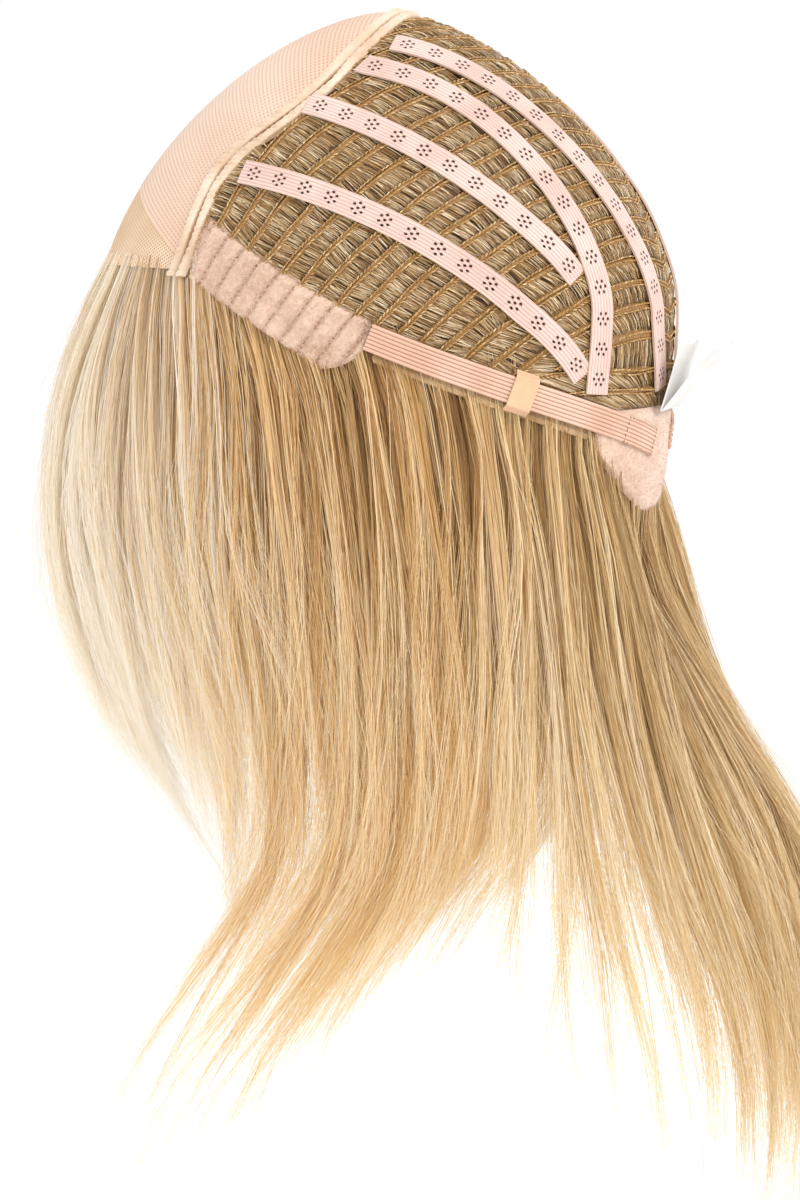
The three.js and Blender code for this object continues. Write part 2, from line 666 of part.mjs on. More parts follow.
addPiece('lace_front', laceFront(), finish.lace);
addPiece('mono_top', monoTop(), finish.mono);
addPiece('mono_binding', monoBinding(), finish.binding);
[...slantedWefts(), ...napeWefts()].forEach((geometry, i) => {
  addPiece(`weft_${String(i + 1).padStart(2, '0')}`, geometry, finish.weft);
});
for (const ribbon of SIDE_RIBBONS) {
  addPair(ribbon.name, edgesOf(sideRibbonLine(ribbon), RIBBON_WIDTH), ribbonSection, finish.ribbon);
}
for (const ribbon of UPRIGHT_RIBBONS) {
  addPair(ribbon.name, edgesOf(uprightRibbonLine(ribbon), RIBBON_WIDTH), ribbonSection, finish.ribbon);
}
addPair('ear_tab', earTab(), feltSection(4), finish.felt);
addPair('edge_band', edgeBand(), evenSection(2, 0, BAND_WALL), finish.band);
addPair('elastic', edgesOf(strapLine, STRAP_WIDTH), evenSection(2, RIBBON_BASE, STRAP_WALL), finish.elastic);
const [keeperLow, keeperHigh, keeperSection] = strapKeeper();
addPair('strap_keeper', [keeperLow, keeperHigh], keeperSection, finish.keeper);
addPiece('nape_patch', napePatch(), finish.felt);
addPiece('label', foldedLabel(), finish.label);
addPiece('hair', hairForm(), finish.hair);

export default wig;
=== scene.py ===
# %% [markdown]
# # A monofilament top wig, turned inside out
# The solids of this wig hold its sizes: a sewn cap, the trims on it, and the outer form of the hair.
# This notebook puts the cloth, the stitches and the hair on them, one piece at a time.
# Every trim is modelled flat, as it lies on the sewing table, and is then laid over the cap's dome.

# %% Load the frame
import math
from types import SimpleNamespace

import bpy
import numpy as np
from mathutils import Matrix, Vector


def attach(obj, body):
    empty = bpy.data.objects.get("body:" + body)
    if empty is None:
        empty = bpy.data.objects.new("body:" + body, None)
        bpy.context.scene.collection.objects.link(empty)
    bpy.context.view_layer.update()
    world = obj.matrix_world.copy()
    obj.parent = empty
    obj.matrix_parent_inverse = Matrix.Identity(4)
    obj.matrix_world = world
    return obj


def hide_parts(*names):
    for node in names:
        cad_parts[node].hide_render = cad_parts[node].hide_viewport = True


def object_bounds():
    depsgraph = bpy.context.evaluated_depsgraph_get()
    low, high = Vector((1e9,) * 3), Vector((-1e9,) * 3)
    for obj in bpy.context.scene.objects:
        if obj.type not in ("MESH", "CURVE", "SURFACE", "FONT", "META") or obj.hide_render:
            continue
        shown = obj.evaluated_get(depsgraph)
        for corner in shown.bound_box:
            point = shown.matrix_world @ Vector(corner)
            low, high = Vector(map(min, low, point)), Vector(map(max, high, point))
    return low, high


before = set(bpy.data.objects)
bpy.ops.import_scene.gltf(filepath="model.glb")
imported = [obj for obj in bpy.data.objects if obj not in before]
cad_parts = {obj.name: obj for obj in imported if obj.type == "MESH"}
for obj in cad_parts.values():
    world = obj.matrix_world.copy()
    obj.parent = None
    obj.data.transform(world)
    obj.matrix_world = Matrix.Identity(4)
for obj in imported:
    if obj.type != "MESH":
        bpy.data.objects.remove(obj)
cad_box = [list(corner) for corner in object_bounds()]
mm = 0.001
draw = np.random.default_rng(26)
print(len(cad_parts), "solids, in a box from", cad_box[0], "to", cad_box[1])

# %% [markdown]
# ## Camera
# The wig is seen from its right side, a little from behind and from just above the rim.
# A long lens from a metre and a half away keeps the dome's outline true.
# The camera comes first, because every later choice of detail depends on how large a piece shows.

# %% Camera
EYE = Vector((1439.9, 412.9, -18.5)) * mm
AIM = Vector((-1.5, 5.3, -199.7)) * mm
LENS = 131.4
CLIP_END = 30


def look_at(thing, target):
    thing.rotation_euler = (target - thing.location).to_track_quat("-Z", "Y").to_euler()


bpy.ops.object.camera_add(location=EYE)
camera = bpy.context.object
look_at(camera, AIM)
camera.data.lens = LENS
camera.data.clip_end = CLIP_END
bpy.context.scene.camera = camera
print("camera", round((AIM - EYE).length, 3), "m away")

# %% [markdown]
# ## The dome
# A cap keeps the form that it is sewn for: a smooth dome above its widest level, and a wall below it
# that draws in towards the nape. It could be sculpted, but then no trim would know where its seat is.
# One formula that is below zero inside the dome and zero on it does both jobs: a ray from inside finds
# the seat, and the formula's slope gives the direction away from the cap.
# Heights here count from the widest level, and a bearing is 0 at the nape and 180 at the forehead.

# %% Dome
HALF_BREADTH = 75 * mm
HALF_LENGTH = 98 * mm
CROWN = 97 * mm
PLAN_POWER = 2.1
RISE_POWER = 1.6
NAPE_DEPTH = 69 * mm
NAPE_TAPER = 0.06
RAY_HALVINGS = 36
SLOPE_STEP = 0.05 * mm
RIGHT = np.array([1.0, 0.0, 0.0])


def cap_level(p):
    x, y, z = np.moveaxis(p, -1, 0)
    breadth = np.abs(x / HALF_BREADTH) ** PLAN_POWER
    length = np.abs(y / HALF_LENGTH) ** PLAN_POWER
    plan = (breadth + length) ** (1 / PLAN_POWER)
    below = plan - 1 + NAPE_TAPER * (z / NAPE_DEPTH) ** 2
    above = plan**RISE_POWER + (np.maximum(z, 0) / CROWN) ** RISE_POWER - 1
    return np.where(z < 0, below, above)


def on_cap(start, direction):
    start, direction = np.broadcast_arrays(start, direction)
    near = np.zeros(start.shape[:-1])
    far = near + 2 * HALF_LENGTH
    for _ in range(RAY_HALVINGS):
        middle = (near + far) / 2
        inside = cap_level(start + middle[..., None] * direction) < 0
        near = np.where(inside, middle, near)
        far = np.where(inside, far, middle)
    return start + near[..., None] * direction


def unit(v):
    return v / np.linalg.norm(v, axis=-1, keepdims=True)


def pull(p):
    foot = np.zeros_like(p)
    foot[..., 2] = np.minimum(p[..., 2], 0)
    return on_cap(foot, unit(p - foot))


def cap_normal(p):
    steps = SLOPE_STEP * np.eye(3)
    return unit(np.stack([cap_level(p + step) - cap_level(p - step) for step in steps], -1))


print("the crown is", round(float(on_cap(np.zeros(3), np.array([0, 0, 1.0]))[2]) / mm, 1), "mm up")

# %% Places on the dome
EDGE_HALVINGS = 40


def at_bearing(bearing, z):
    bearing, z = np.broadcast_arrays(np.radians(bearing), np.asarray(z, float))
    none = np.zeros_like(z)
    return on_cap(np.stack([none, none, z], -1), np.stack([np.sin(bearing), np.cos(bearing), none], -1))


def bearing_of(p):
    return np.degrees(np.arctan2(np.abs(p[..., 0]), p[..., 1]))


def cut_axes(slope):
    turn = math.radians(slope)
    return np.array([0, math.cos(turn), math.sin(turn)]), np.array([0, -math.sin(turn), math.cos(turn)])


def on_cut(slope, offset, turn):
    along, across = cut_axes(slope)
    turn = np.radians(np.asarray(turn, float))[..., None]
    offset = np.asarray(offset, float)[..., None]
    return on_cap(offset * across, np.cos(turn) * along + np.sin(turn) * RIGHT)


def last_where(test, start, end):
    for _ in range(EDGE_HALVINGS):
        middle = (start + end) / 2
        start, end = (middle, end) if test(middle) else (start, middle)
    return start


print("the nape is", round(float(at_bearing(0, -NAPE_DEPTH)[1]) / mm, 1), "mm behind the middle")

# %% [markdown]
# ## Seams and edges
# The lines that the pieces are sewn along are cuts through the dome: the binding behind the
# monofilament, the lace seam, the slanting tracks of the wefts, and the rim that falls to the nape.
# Drawing each one by hand would let neighbours drift apart. Here each line is a function of a few
# sizes, so that two pieces that share a seam share its line too.

# %% Sizes of the seams
GAP = 0.4 * mm
TEMPLE = np.array([0, -48.5, 13]) * mm
SEAM_SLOPE = 140
BINDING_SLOPE = 56.2
BINDING_WIDTH = 8 * mm
BINDING_SWELL = 10.5 * mm
SWELL_TURNS = (30, 120)
WEFT_SLOPE = 41
WEFT_COUNT = 19
WEFT_TOP, WEFT_BOTTOM = 61 * mm, -72 * mm
WEFT_PITCH = (WEFT_TOP - WEFT_BOTTOM) / WEFT_COUNT
WEFT_TUCK = 2.5 * mm
TRACK_BOW = 11 * mm
TRACK_BOW_TURN = 115
TRACK_FAN, FAN_FROM = 10 * mm, 10 * mm
NAPE_WEFTS = np.array([-32.4, -25.7, -19]) * mm
NAPE_SIDE = 26
NAPE_TOP, NAPE_CORNER = -33 * mm, 45 * mm
TAB_REAR, TAB_ROUND = 77, 90
TAB_TOP = (-2.2 * mm, 30 * mm)
TAB_BOTTOM = (-5 * mm, -18 * mm, 10.5 * mm)
STRAP_FRONT, STRAP_END = 76, 7
STRAP_START, STRAP_FALL = -8, 0.535
BAND_RISE, BAND_DROP = 5 * mm, 8 * mm
QUARTER_TURN, FAR_TURN = 90, 150
LINE_POINTS = 161
binding_along, binding_across = cut_axes(BINDING_SLOPE)
weft_along, weft_across = cut_axes(WEFT_SLOPE)
binding_offset = float(TEMPLE @ binding_across)
print(WEFT_COUNT, "slanting tracks,", round(WEFT_PITCH / mm, 1), "mm apart")

# %% Edges
def swell_at(turn):
    share = np.clip((np.abs(turn) - SWELL_TURNS[0]) / (SWELL_TURNS[1] - SWELL_TURNS[0]), 0, 1)
    return BINDING_SWELL * np.sin(np.pi * share) ** 2


def ahead_of_binding(p):
    turn = np.degrees(np.arctan2(p[..., 0], p @ binding_along))
    return p @ binding_across - binding_offset - swell_at(turn)


def strap_height(bearing):
    return (STRAP_START - STRAP_FALL * (STRAP_FRONT - bearing)) * mm


def band_top(bearing):
    return strap_height(bearing) + BAND_RISE


def band_bottom(bearing):
    return strap_height(bearing) - BAND_DROP


def nape_top(bearing):
    return np.maximum(NAPE_TOP, band_top(bearing))


def nape_bottom(bearing):
    share = (bearing / NAPE_SIDE) ** 2
    return -NAPE_DEPTH * (1 - share) - NAPE_CORNER * share


def binding_bearing(z):
    behind = -(BINDING_WIDTH / 2 + 2 * GAP)
    return last_where(lambda b: ahead_of_binding(at_bearing(b, z)) < behind, TAB_ROUND, FAR_TURN)


print("the strap falls from", strap_height(STRAP_FRONT) / mm, "to", strap_height(STRAP_END) / mm, "mm")

# %% Ear tab and rim
tab_top_front = binding_bearing(TAB_TOP[1])
tab_bottom_front = binding_bearing(TAB_BOTTOM[2])


def tab_top(bearing):
    return np.interp(bearing, [TAB_REAR, tab_top_front], TAB_TOP)


def tab_bottom(bearing):
    rear, lowest, front = TAB_BOTTOM
    share = np.clip((TAB_ROUND - bearing) / (TAB_ROUND - TAB_REAR), 0, 1)
    round_end = rear + (lowest - rear) * np.sqrt(1 - share**2)
    rising = np.interp(bearing, [TAB_ROUND, tab_bottom_front], [lowest, front])
    return np.where(bearing > TAB_ROUND, rising, round_end)


def rim_height(bearing):
    level = np.where(bearing < tab_bottom_front, tab_bottom(np.maximum(bearing, TAB_ROUND)), TEMPLE[2])
    level = np.where(bearing < TAB_REAR, band_bottom(bearing), level)
    return np.where(bearing < NAPE_SIDE, nape_bottom(bearing), level)


print("ear tab from bearing", TAB_REAR, "to", round(tab_top_front, 1))

# %% Seam lines
def cut_line(slope, offset_at, reach):
    turn = np.linspace(-reach, reach, LINE_POINTS)
    return on_cut(slope, offset_at(turn), turn)


def binding_line(shift, foot):
    offset_at = lambda turn: binding_offset + swell_at(turn) + shift
    reach = last_where(lambda turn: on_cut(BINDING_SLOPE, offset_at(turn), turn)[2] > foot, 0, FAR_TURN)
    return cut_line(BINDING_SLOPE, offset_at, reach)


def seam_line(shift, end_gap):
    offset = float(TEMPLE @ cut_axes(SEAM_SLOPE)[1]) + shift
    clear = BINDING_WIDTH / 2 + end_gap
    ends = lambda turn: ahead_of_binding(on_cut(SEAM_SLOPE, offset, turn)) > clear
    return cut_line(SEAM_SLOPE, lambda turn: offset + 0 * turn, last_where(ends, 0, QUARTER_TURN))


def bow_share(turn):
    return np.sin(np.pi * np.minimum(1, np.abs(turn) / TRACK_BOW_TURN))


def bowed(offset, turn):
    fan = max(0, (offset - FAN_FROM) / (WEFT_TOP - FAN_FROM))
    return offset + (TRACK_BOW + TRACK_FAN * fan) * bow_share(turn)


def unbowed(p):
    share = bow_share(np.degrees(np.arctan2(p[:, 0], p @ weft_along)))
    plain = p @ weft_across - TRACK_BOW * share
    rate = TRACK_FAN * share / (WEFT_TOP - FAN_FROM)
    return np.where(plain > FAN_FROM, (plain + rate * FAN_FROM) / (1 + rate), plain)


def track_line(offset, test):
    offset_at = lambda turn: bowed(offset, turn)
    reach = last_where(lambda turn: test(on_cut(WEFT_SLOPE, offset_at(turn), turn)), 0, FAR_TURN)
    return cut_line(WEFT_SLOPE, offset_at, reach)


print("lace seam and tracks ready")

# %% Measuring lines
def even(line, count=LINE_POINTS):
    run = np.concatenate([[0], np.cumsum(np.linalg.norm(np.diff(line, axis=0), axis=1))])
    at = np.linspace(0, run[-1], count)
    return np.stack([np.interp(at, run, line[:, k]) for k in range(3)], -1)


def length_of(line):
    return float(np.linalg.norm(np.diff(line, axis=0), axis=1).sum())


def edges_of(line, width):
    side = unit(np.cross(np.gradient(line, axis=0), cap_normal(line)))
    return pull(line - side * width / 2), pull(line + side * width / 2)


print("lace seam:", round(length_of(seam_line(0, 0)), 3), "m from temple to temple")

# %% [markdown]
# ## Working by hand, in code
# An operator acts on what is selected, so each start clears the selection first. A flat piece begins
# as a grid of its real size, with its length along X and its width along Y. A form then swells, ribs
# or ruffles it, and `lay` carries every point to the dome: X runs along the piece's two edges, Y from
# the first edge to the second, and Z becomes the lift off the cap. The same few steps serve the net,
# the tapes and the straps. The wig's left side mirrors its right, so a trim is made once for each.

# %% Hands
def put_down():
    if bpy.context.object and bpy.context.object.mode != "OBJECT":
        bpy.ops.object.mode_set(mode="OBJECT")
    bpy.ops.object.select_all(action="DESELECT")


def take(*pieces):
    put_down()
    for piece in pieces:
        piece.select_set(True)
    bpy.context.view_layer.objects.active = pieces[0]


def edit_all():
    bpy.ops.object.mode_set(mode="EDIT")
    bpy.ops.mesh.select_all(action="SELECT")


def edit_none():
    bpy.ops.object.mode_set(mode="EDIT")
    bpy.ops.mesh.select_all(action="DESELECT")
    bpy.ops.object.mode_set(mode="OBJECT")


def size_and_shift(size, place):
    edit_all()
    bpy.ops.transform.resize(value=size)
    bpy.ops.transform.translate(value=place)
    bpy.ops.object.mode_set(mode="OBJECT")


def apply(piece, kind, **settings):
    take(piece)
    modifier = piece.modifiers.new(kind.lower(), kind)
    for name, value in settings.items():
        setattr(modifier, name, value)
    bpy.ops.object.modifier_apply(modifier=modifier.name)


def clear_away(piece):
    bpy.data.objects.remove(piece)


def triangles(*pieces):
    return sum(len(polygon.vertices) - 2 for piece in pieces for polygon in piece.data.polygons)


print("hands ready")

# %% Flat pieces
def flat_grid(name, length, width, columns, rows):
    put_down()
    bpy.ops.mesh.primitive_grid_add(x_subdivisions=columns, y_subdivisions=rows, size=1)
    piece = bpy.context.object
    piece.name = piece.data.name = name
    size_and_shift((length, width, 1), (length / 2, width / 2, 0))
    return piece


def points_of(piece):
    points = np.empty(len(piece.data.vertices) * 3)
    piece.data.vertices.foreach_get("co", points)
    return points.reshape(-1, 3)


def set_points(piece, points):
    piece.data.vertices.foreach_set("co", np.asarray(points, np.float32).ravel())
    piece.data.update()


def map_points(piece, name, values):
    layer = piece.data.uv_layers.get(name) or piece.data.uv_layers.new(name=name)
    corners = np.empty(len(piece.data.loops), int)
    piece.data.loops.foreach_get("vertex_index", corners)
    layer.data.foreach_set("uv", np.asarray(values, np.float32)[corners].ravel())


print("flat pieces ready")

# %% Laying on the dome
def along(line, share):
    at = np.linspace(0, 1, len(line))
    return np.stack([np.interp(share, at, line[:, k]) for k in range(3)], -1)


def seat(first, second, share, across):
    across = np.asarray(across)[..., None]
    return pull(along(first, share) * (1 - across) + along(second, share) * across)


def seat_line(edges, share, across, count):
    return seat(*edges, np.linspace(*share, count), np.linspace(*across, count))


def lay(piece, first, second, length, width):
    flat = points_of(piece)
    map_points(piece, "flat", flat[:, :2] / mm)
    foot = seat(first, second, flat[:, 0] / length, flat[:, 1] / width)
    set_points(piece, foot + cap_normal(foot) * flat[:, 2:] - [0, 0, CROWN])
    k = len(first) // 2
    facing = np.cross(first[k + 1] - first[k], second[k] - first[k])
    if facing @ cap_normal(first[k]) < 0:
        piece.data.flip_normals()


def strip(name, edges, size, grid, form, wall=0):
    piece = flat_grid(name, *size, *grid)
    flat = points_of(piece)
    form(flat)
    set_points(piece, flat)
    lay(piece, *edges, *size)
    if wall:
        apply(piece, "SOLIDIFY", thickness=wall, offset=-1)
    return piece


print("the dome is ready for cloth")

# %% Wearing a finish, and both sides
SMOOTH_ANGLE = 50
SIDES = {"right": 1, "left": -1}


def wear(piece, finish, slot, *nodes):
    take(piece)
    bpy.ops.object.shade_smooth_by_angle(angle=math.radians(SMOOTH_ANGLE))
    piece.data.materials.clear()
    piece.data.materials.append(finish)
    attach(piece, "root")
    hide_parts(*nodes)
    return piece


def on_side(side, *lines):
    return [line * [side, 1, 1] for line in lines]


def both_sides(make, name, finish, slot, node):
    pieces = []
    for word, side in SIDES.items():
        piece = make(f"{name}_{word}", side)
        pieces.append(wear(piece, finish, slot, f"{node}_{word}"))
    return pieces


print("sides:", *SIDES)

# %% [markdown]
# ## Small things in great number
# Stitches, fringe hairs and strands are far too many to place by hand. Instancing would keep them
# light, but the finished model needs plain meshes. So one stitch is modelled once, and arrays place
# its copies in one joined mesh. A strand is a flat strip along a row of points, which takes a third of
# the triangles of a tube. Each gets a map whose first value is its own tone, and whose second runs from
# root to tip, so that one finish can colour thousands of hairs, each a little differently.

# %% Joined meshes
TONE_FROM, TONE_SPAN, TONE_WIDTH = 0.02, 0.96, 0.004


def joined(name, points, faces, tone, run):
    mesh = bpy.data.meshes.new(name)
    mesh.vertices.add(len(points))
    mesh.vertices.foreach_set("co", np.asarray(points - [0, 0, CROWN], np.float32).ravel())
    mesh.loops.add(faces.size)
    mesh.loops.foreach_set("vertex_index", faces.astype(np.int32).ravel())
    mesh.polygons.add(len(faces))
    mesh.polygons.foreach_set("loop_start", np.arange(0, faces.size, faces.shape[1], dtype=np.int32))
    mesh.update(calc_edges=True)
    mesh.shade_smooth()
    piece = bpy.data.objects.new(name, mesh)
    bpy.context.collection.objects.link(piece)
    map_points(piece, "OFBake", np.stack([tone, run], -1))
    return piece


def map_tone(tone, across):
    return TONE_FROM + TONE_SPAN * tone + TONE_WIDTH * across


def some_tones(middle, spread, count):
    return np.clip(draw.normal(middle, spread, count), 0, 1)


print("tones from", TONE_FROM, "to", TONE_FROM + TONE_SPAN)

# %% Stitches
def model_stitch(length, width, height):
    put_down()
    bpy.ops.mesh.primitive_ico_sphere_add(subdivisions=1, radius=0.5)
    stitch = bpy.context.object
    edit_all()
    bpy.ops.transform.rotate(value=math.radians(90), orient_axis="Y", center_override=(0, 0, 0))
    bpy.ops.transform.resize(value=(length, width, height))
    bpy.ops.object.mode_set(mode="OBJECT")
    return stitch


def stitch_line(line, pitch):
    count = max(2, int(round(length_of(line) / pitch)))
    places = even(line, count)
    return places, unit(np.gradient(places, axis=0)), cap_normal(pull(places))


def all_rows(rows):
    return (np.concatenate(column) for column in zip(*rows))


def sew(name, stitch, places, forward, up, tone):
    shape = points_of(stitch)
    reach, width = (shape[:, k] / np.ptp(shape[:, k]) for k in (0, 1))
    faces = np.array([list(polygon.vertices) for polygon in stitch.data.polygons])
    axes = np.stack([forward, np.cross(up, forward), up], 1)
    points = places[:, None] + np.einsum("vk,nkj->nvj", shape, axes)
    faces = faces + np.arange(len(places))[:, None, None] * len(shape)
    tones = map_tone(tone[:, None], width).ravel()
    run = np.tile(reach + 0.5, len(places))
    return joined(name, points.reshape(-1, 3), faces.reshape(-1, faces.shape[2]), tones, run)


print("stitches ready")

# %% Strands
STRAND_RUN = (0.01, 0.99)
EDGES = np.array([1, -1])


def strands(name, paths, radius, facing, tone):
    count, steps = paths.shape[:2]
    side = unit(np.cross(unit(np.gradient(paths, axis=1)), facing))
    points = paths[:, :, None] + EDGES[:, None] * side[:, :, None] * radius[:, :, None, None]
    index = np.arange(count * steps * 2).reshape(count, steps, 2)
    upper, lower = index[:, :-1], index[:, 1:]
    faces = np.stack([upper[..., 0], upper[..., 1], lower[..., 1], lower[..., 0]], -1).reshape(-1, 4)
    tones = np.broadcast_to(map_tone(tone[:, None, None], EDGES), index.shape).ravel()
    run = np.broadcast_to(np.linspace(*STRAND_RUN, steps)[:, None], index.shape).ravel()
    return joined(name, points.reshape(-1, 3), faces, tones, run)


print("strands ready")

# %% [markdown]
# ## Finishes: sums with sockets
# A finish is a web of shader nodes. Typed out one by one the nodes hide the idea, so this small class
# wraps a socket: sums written in Python add their Math nodes, and `add` makes any other node. What
# changes over a surface only feeds the colour, roughness, alpha or the bump of the shader.
# Colours are written as six hexadecimal digits, and `paint` turns them into linear light.

# %% Colours
def paint(code):
    parts = [int(code[k : k + 2], 16) / 255 for k in (0, 2, 4)]
    return (*[p / 12.92 if p <= 0.04045 else ((p + 0.055) / 1.055) ** 2.4 for p in parts], 1.0)


def set_stops(elements, stops):
    while len(elements) < len(stops):
        elements.new(1.0)
    for element, (position, colour) in zip(elements, stops):
        element.position = position
        element.color = colour


print("middle grey is", round(paint("808080")[0], 3), "in linear light")

# %% Shader sums
def feed(socket, value):
    if isinstance(value, Wire):
        socket.id_data.links.new(value.socket, socket)
    else:
        socket.default_value = value


class Wire:
    def __init__(self, socket):
        self.socket = socket

    def add(self, kind, settings=None, inputs=None, out=0):
        node = self.socket.id_data.nodes.new("ShaderNode" + kind)
        for name, value in (settings or {}).items():
            if name == "stops":
                set_stops(node.color_ramp.elements, value)
            else:
                setattr(node, name, value)
        for name, value in (inputs or {}).items():
            feed(node.inputs[name], value)
        return Wire(node.outputs[out])

    def maths(self, operation, *others):
        return self.add("Math", {"operation": operation}, dict(enumerate((self, *others))))

    def __add__(self, other):
        return self.maths("ADD", other)

    def __sub__(self, other):
        return self.maths("SUBTRACT", other)

    def __rsub__(self, other):
        return self.add("Math", {"operation": "SUBTRACT"}, {0: other, 1: self})

    def __mul__(self, other):
        return self.maths("MULTIPLY", other)

    __radd__ = __add__
    __rmul__ = __mul__

    def wave(self, pitch):
        return 0.5 + 0.5 * (self * (2 * math.pi / pitch)).maths("SINE")

    def between(self, low, high):
        return self.add("MapRange", {"interpolation_type": "SMOOTHSTEP"}, {0: self, 1: low, 2: high})

    def blend(self, first, second):
        return self.add("Mix", {"data_type": "RGBA"}, {0: self, 6: first, 7: second}, out=2)

    def noise(self, scale, detail=2.0):
        return self.add("TexNoise", None, {"Vector": self, "Scale": scale, "Detail": detail})

    def bump(self, strength, depth):
        return self.add("Bump", None, {"Strength": strength, "Distance": depth, "Height": self})


print("shader sums ready")

# %% Finish helpers
CLOUD_RANGE = (0.3, 0.7)


def new_finish(name, **constants):
    material = bpy.data.materials.new(name)
    material.use_nodes = True
    tree = material.node_tree
    shader = tree.nodes["Principled BSDF"]
    for socket, value in constants.items():
        shader.inputs[socket.replace("_", " ")].default_value = value
    return material, shader, Wire(tree.nodes.new("ShaderNodeTexCoord").outputs["Object"])


def read_map(place, name):
    both = place.add("SeparateXYZ", None, {0: place.add("UVMap", {"uv_map": name})})
    return both, Wire(both.socket.node.outputs[1])


def clouded(cloud, light, dark):
    return cloud.between(*CLOUD_RANGE).blend(paint(light), paint(dark))


def ramp_of(tone, codes, middle=0.5):
    stops = list(zip((0.0, middle, 1.0), map(paint, codes)))
    return tone.add("ValToRGB", {"stops": stops}, {0: tone})


def dress(shader, colour, normal):
    feed(shader.inputs["Base Color"], colour)
    feed(shader.inputs["Normal"], normal)


def let_light_through(material, colour, share):
    tree = material.node_tree
    start = Wire(tree.nodes["Principled BSDF"].outputs[0])
    glow = start.add("BsdfTranslucent", None, {"Color": colour})
    mixed = start.add("MixShader", None, {0: share, 1: start, 2: glow})
    feed(tree.nodes["Material Output"].inputs["Surface"], mixed)


print("finish helpers ready")

# %% [markdown]
# ## Monofilament top and lace front
# The top is a fine peach net with a knot at each crossing, and the front a sheer beige mesh. A woven
# texture stretched between the edges of the piece would squeeze up at the temples. A real net is
# pulled over the dome from its middle, so the pattern is mapped that way too: distance and direction
# from the middle of the front, in millimetres.

# %% Net finishes
NET_PITCH = 1.9
ROW_PITCH = 0.9 * NET_PITCH
LACE_PITCH, LACE_SLANT = 1.5, 0.58
LACE_OPEN = 0.35


def mono_finish():
    material, shader, place = new_finish("mono_net", Roughness=0.8, Sheen_Weight=0.2)
    u, v = read_map(place, "net")
    row = v.wave(ROW_PITCH)
    knot = u.wave(NET_PITCH) * row
    colour = clouded(place.noise(scale=22.0), "fae0ca", "f0ccb0")
    colour = (row.between(0.5, 1.0) * 0.2).blend(colour, paint("c8936f"))
    colour = (knot.between(0.5, 0.85) * 0.7).blend(colour, paint("b47c57"))
    dress(shader, colour, knot.bump(strength=0.3, depth=0.2 * mm))
    let_light_through(material, paint("f0cdb4"), share=0.25)
    return material


def lace_finish():
    material, shader, place = new_finish("lace_mesh", Roughness=0.85)
    u, v = read_map(place, "net")
    hole = (u + v * LACE_SLANT).wave(LACE_PITCH) * (u - v * LACE_SLANT).wave(LACE_PITCH)
    colour = clouded(place.noise(scale=30.0), "e8d0b4", "d6b694")
    dress(shader, (hole * 0.7).blend(colour, paint("a07a52")), hole.bump(strength=0.3, depth=0.2 * mm))
    feed(shader.inputs["Alpha"], 1 - LACE_OPEN * hole.between(0.45, 0.8))
    return material


mono_cloth, lace_cloth = mono_finish(), lace_finish()
print("net finishes:", mono_cloth.name, lace_cloth.name)

# %% Nets
NET_MIDDLE = unit(np.array([0, -0.62, 0.78]))
MONO_LIFT, LACE_LIFT = 1 * mm, 0.8 * mm
MONO_GRID, LACE_GRID = (90, 44), (90, 18)
SEAM_OVERLAP = 1.2 * mm
NET_CLEAR = 2 * mm


def map_net(piece):
    ray = unit(points_of(piece) + [0, 0, CROWN])
    turn = np.arccos(np.clip(ray @ NET_MIDDLE, -1, 1))
    uphill = unit(np.cross(RIGHT, NET_MIDDLE))
    way = unit(np.stack([ray @ RIGHT, ray @ uphill], -1) + 1e-9)
    map_points(piece, "net", way * turn[:, None] * HALF_LENGTH / mm)


def net_sheet(name, first, second, lift, grid):
    width = length_of(np.stack([first[LINE_POINTS // 2], second[LINE_POINTS // 2]]))

    def form(flat):
        flat[:, 2] = lift

    piece = strip(name, (first, second), (length_of(second), width), grid, form)
    map_net(piece)
    return piece


lace_clear = BINDING_WIDTH / 2 + 2 * GAP
lace_end = last_where(lambda b: ahead_of_binding(at_bearing(b, TEMPLE[2])) > lace_clear, 180, 90)
hairline = at_bearing(np.linspace(360 - lace_end, lace_end, LINE_POINTS), TEMPLE[2])
mono_rear = binding_line(BINDING_WIDTH / 2 - GAP, TEMPLE[2] + NET_CLEAR)
mono = net_sheet("mono_net", seam_line(0, -GAP), mono_rear, MONO_LIFT, MONO_GRID)
lace = net_sheet("lace_mesh", hairline, seam_line(-SEAM_OVERLAP, -GAP), LACE_LIFT, LACE_GRID)
wear(mono, mono_cloth, "mono", "mono_top")
wear(lace, lace_cloth, "lace", "lace_front")
print("nets:", triangles(mono, lace), "triangles")

# %% [markdown]
# ## Binding
# The seam behind the monofilament is covered by a padded tape with two soft ridges and a stitched
# groove between them. It could be a plain swept profile, but sewn tape is never even: the ridges
# swell between stitches and the edge wanders. So a fine strip gets its ridges and its waver from
# sums of waves before it is laid along the seam.

# %% Binding finish
WANDER_WAVES, WANDER_COUNT = (12, 60), 5


def wander(x, seed, size):
    waves = np.random.default_rng(seed)
    total = np.zeros_like(x)
    for wave in waves.uniform(*WANDER_WAVES, WANDER_COUNT) * mm:
        total += np.sin(2 * np.pi * (x / wave + waves.random())) * np.sqrt(wave / (WANDER_WAVES[1] * mm))
    return size * total / 2


def tape_finish(name, light, dark, weave):
    material, shader, place = new_finish(name, Roughness=0.9, Sheen_Weight=0.3)
    u, v = read_map(place, "flat")
    thread = u.wave(weave) * v.wave(weave)
    colour = clouded(place.noise(scale=60.0, detail=4.0), light, dark)
    relief = thread + 1.5 * place.noise(scale=900.0)
    dress(shader, (thread * 0.25).blend(colour, paint(dark)), relief.bump(strength=0.45, depth=0.25 * mm))
    return material


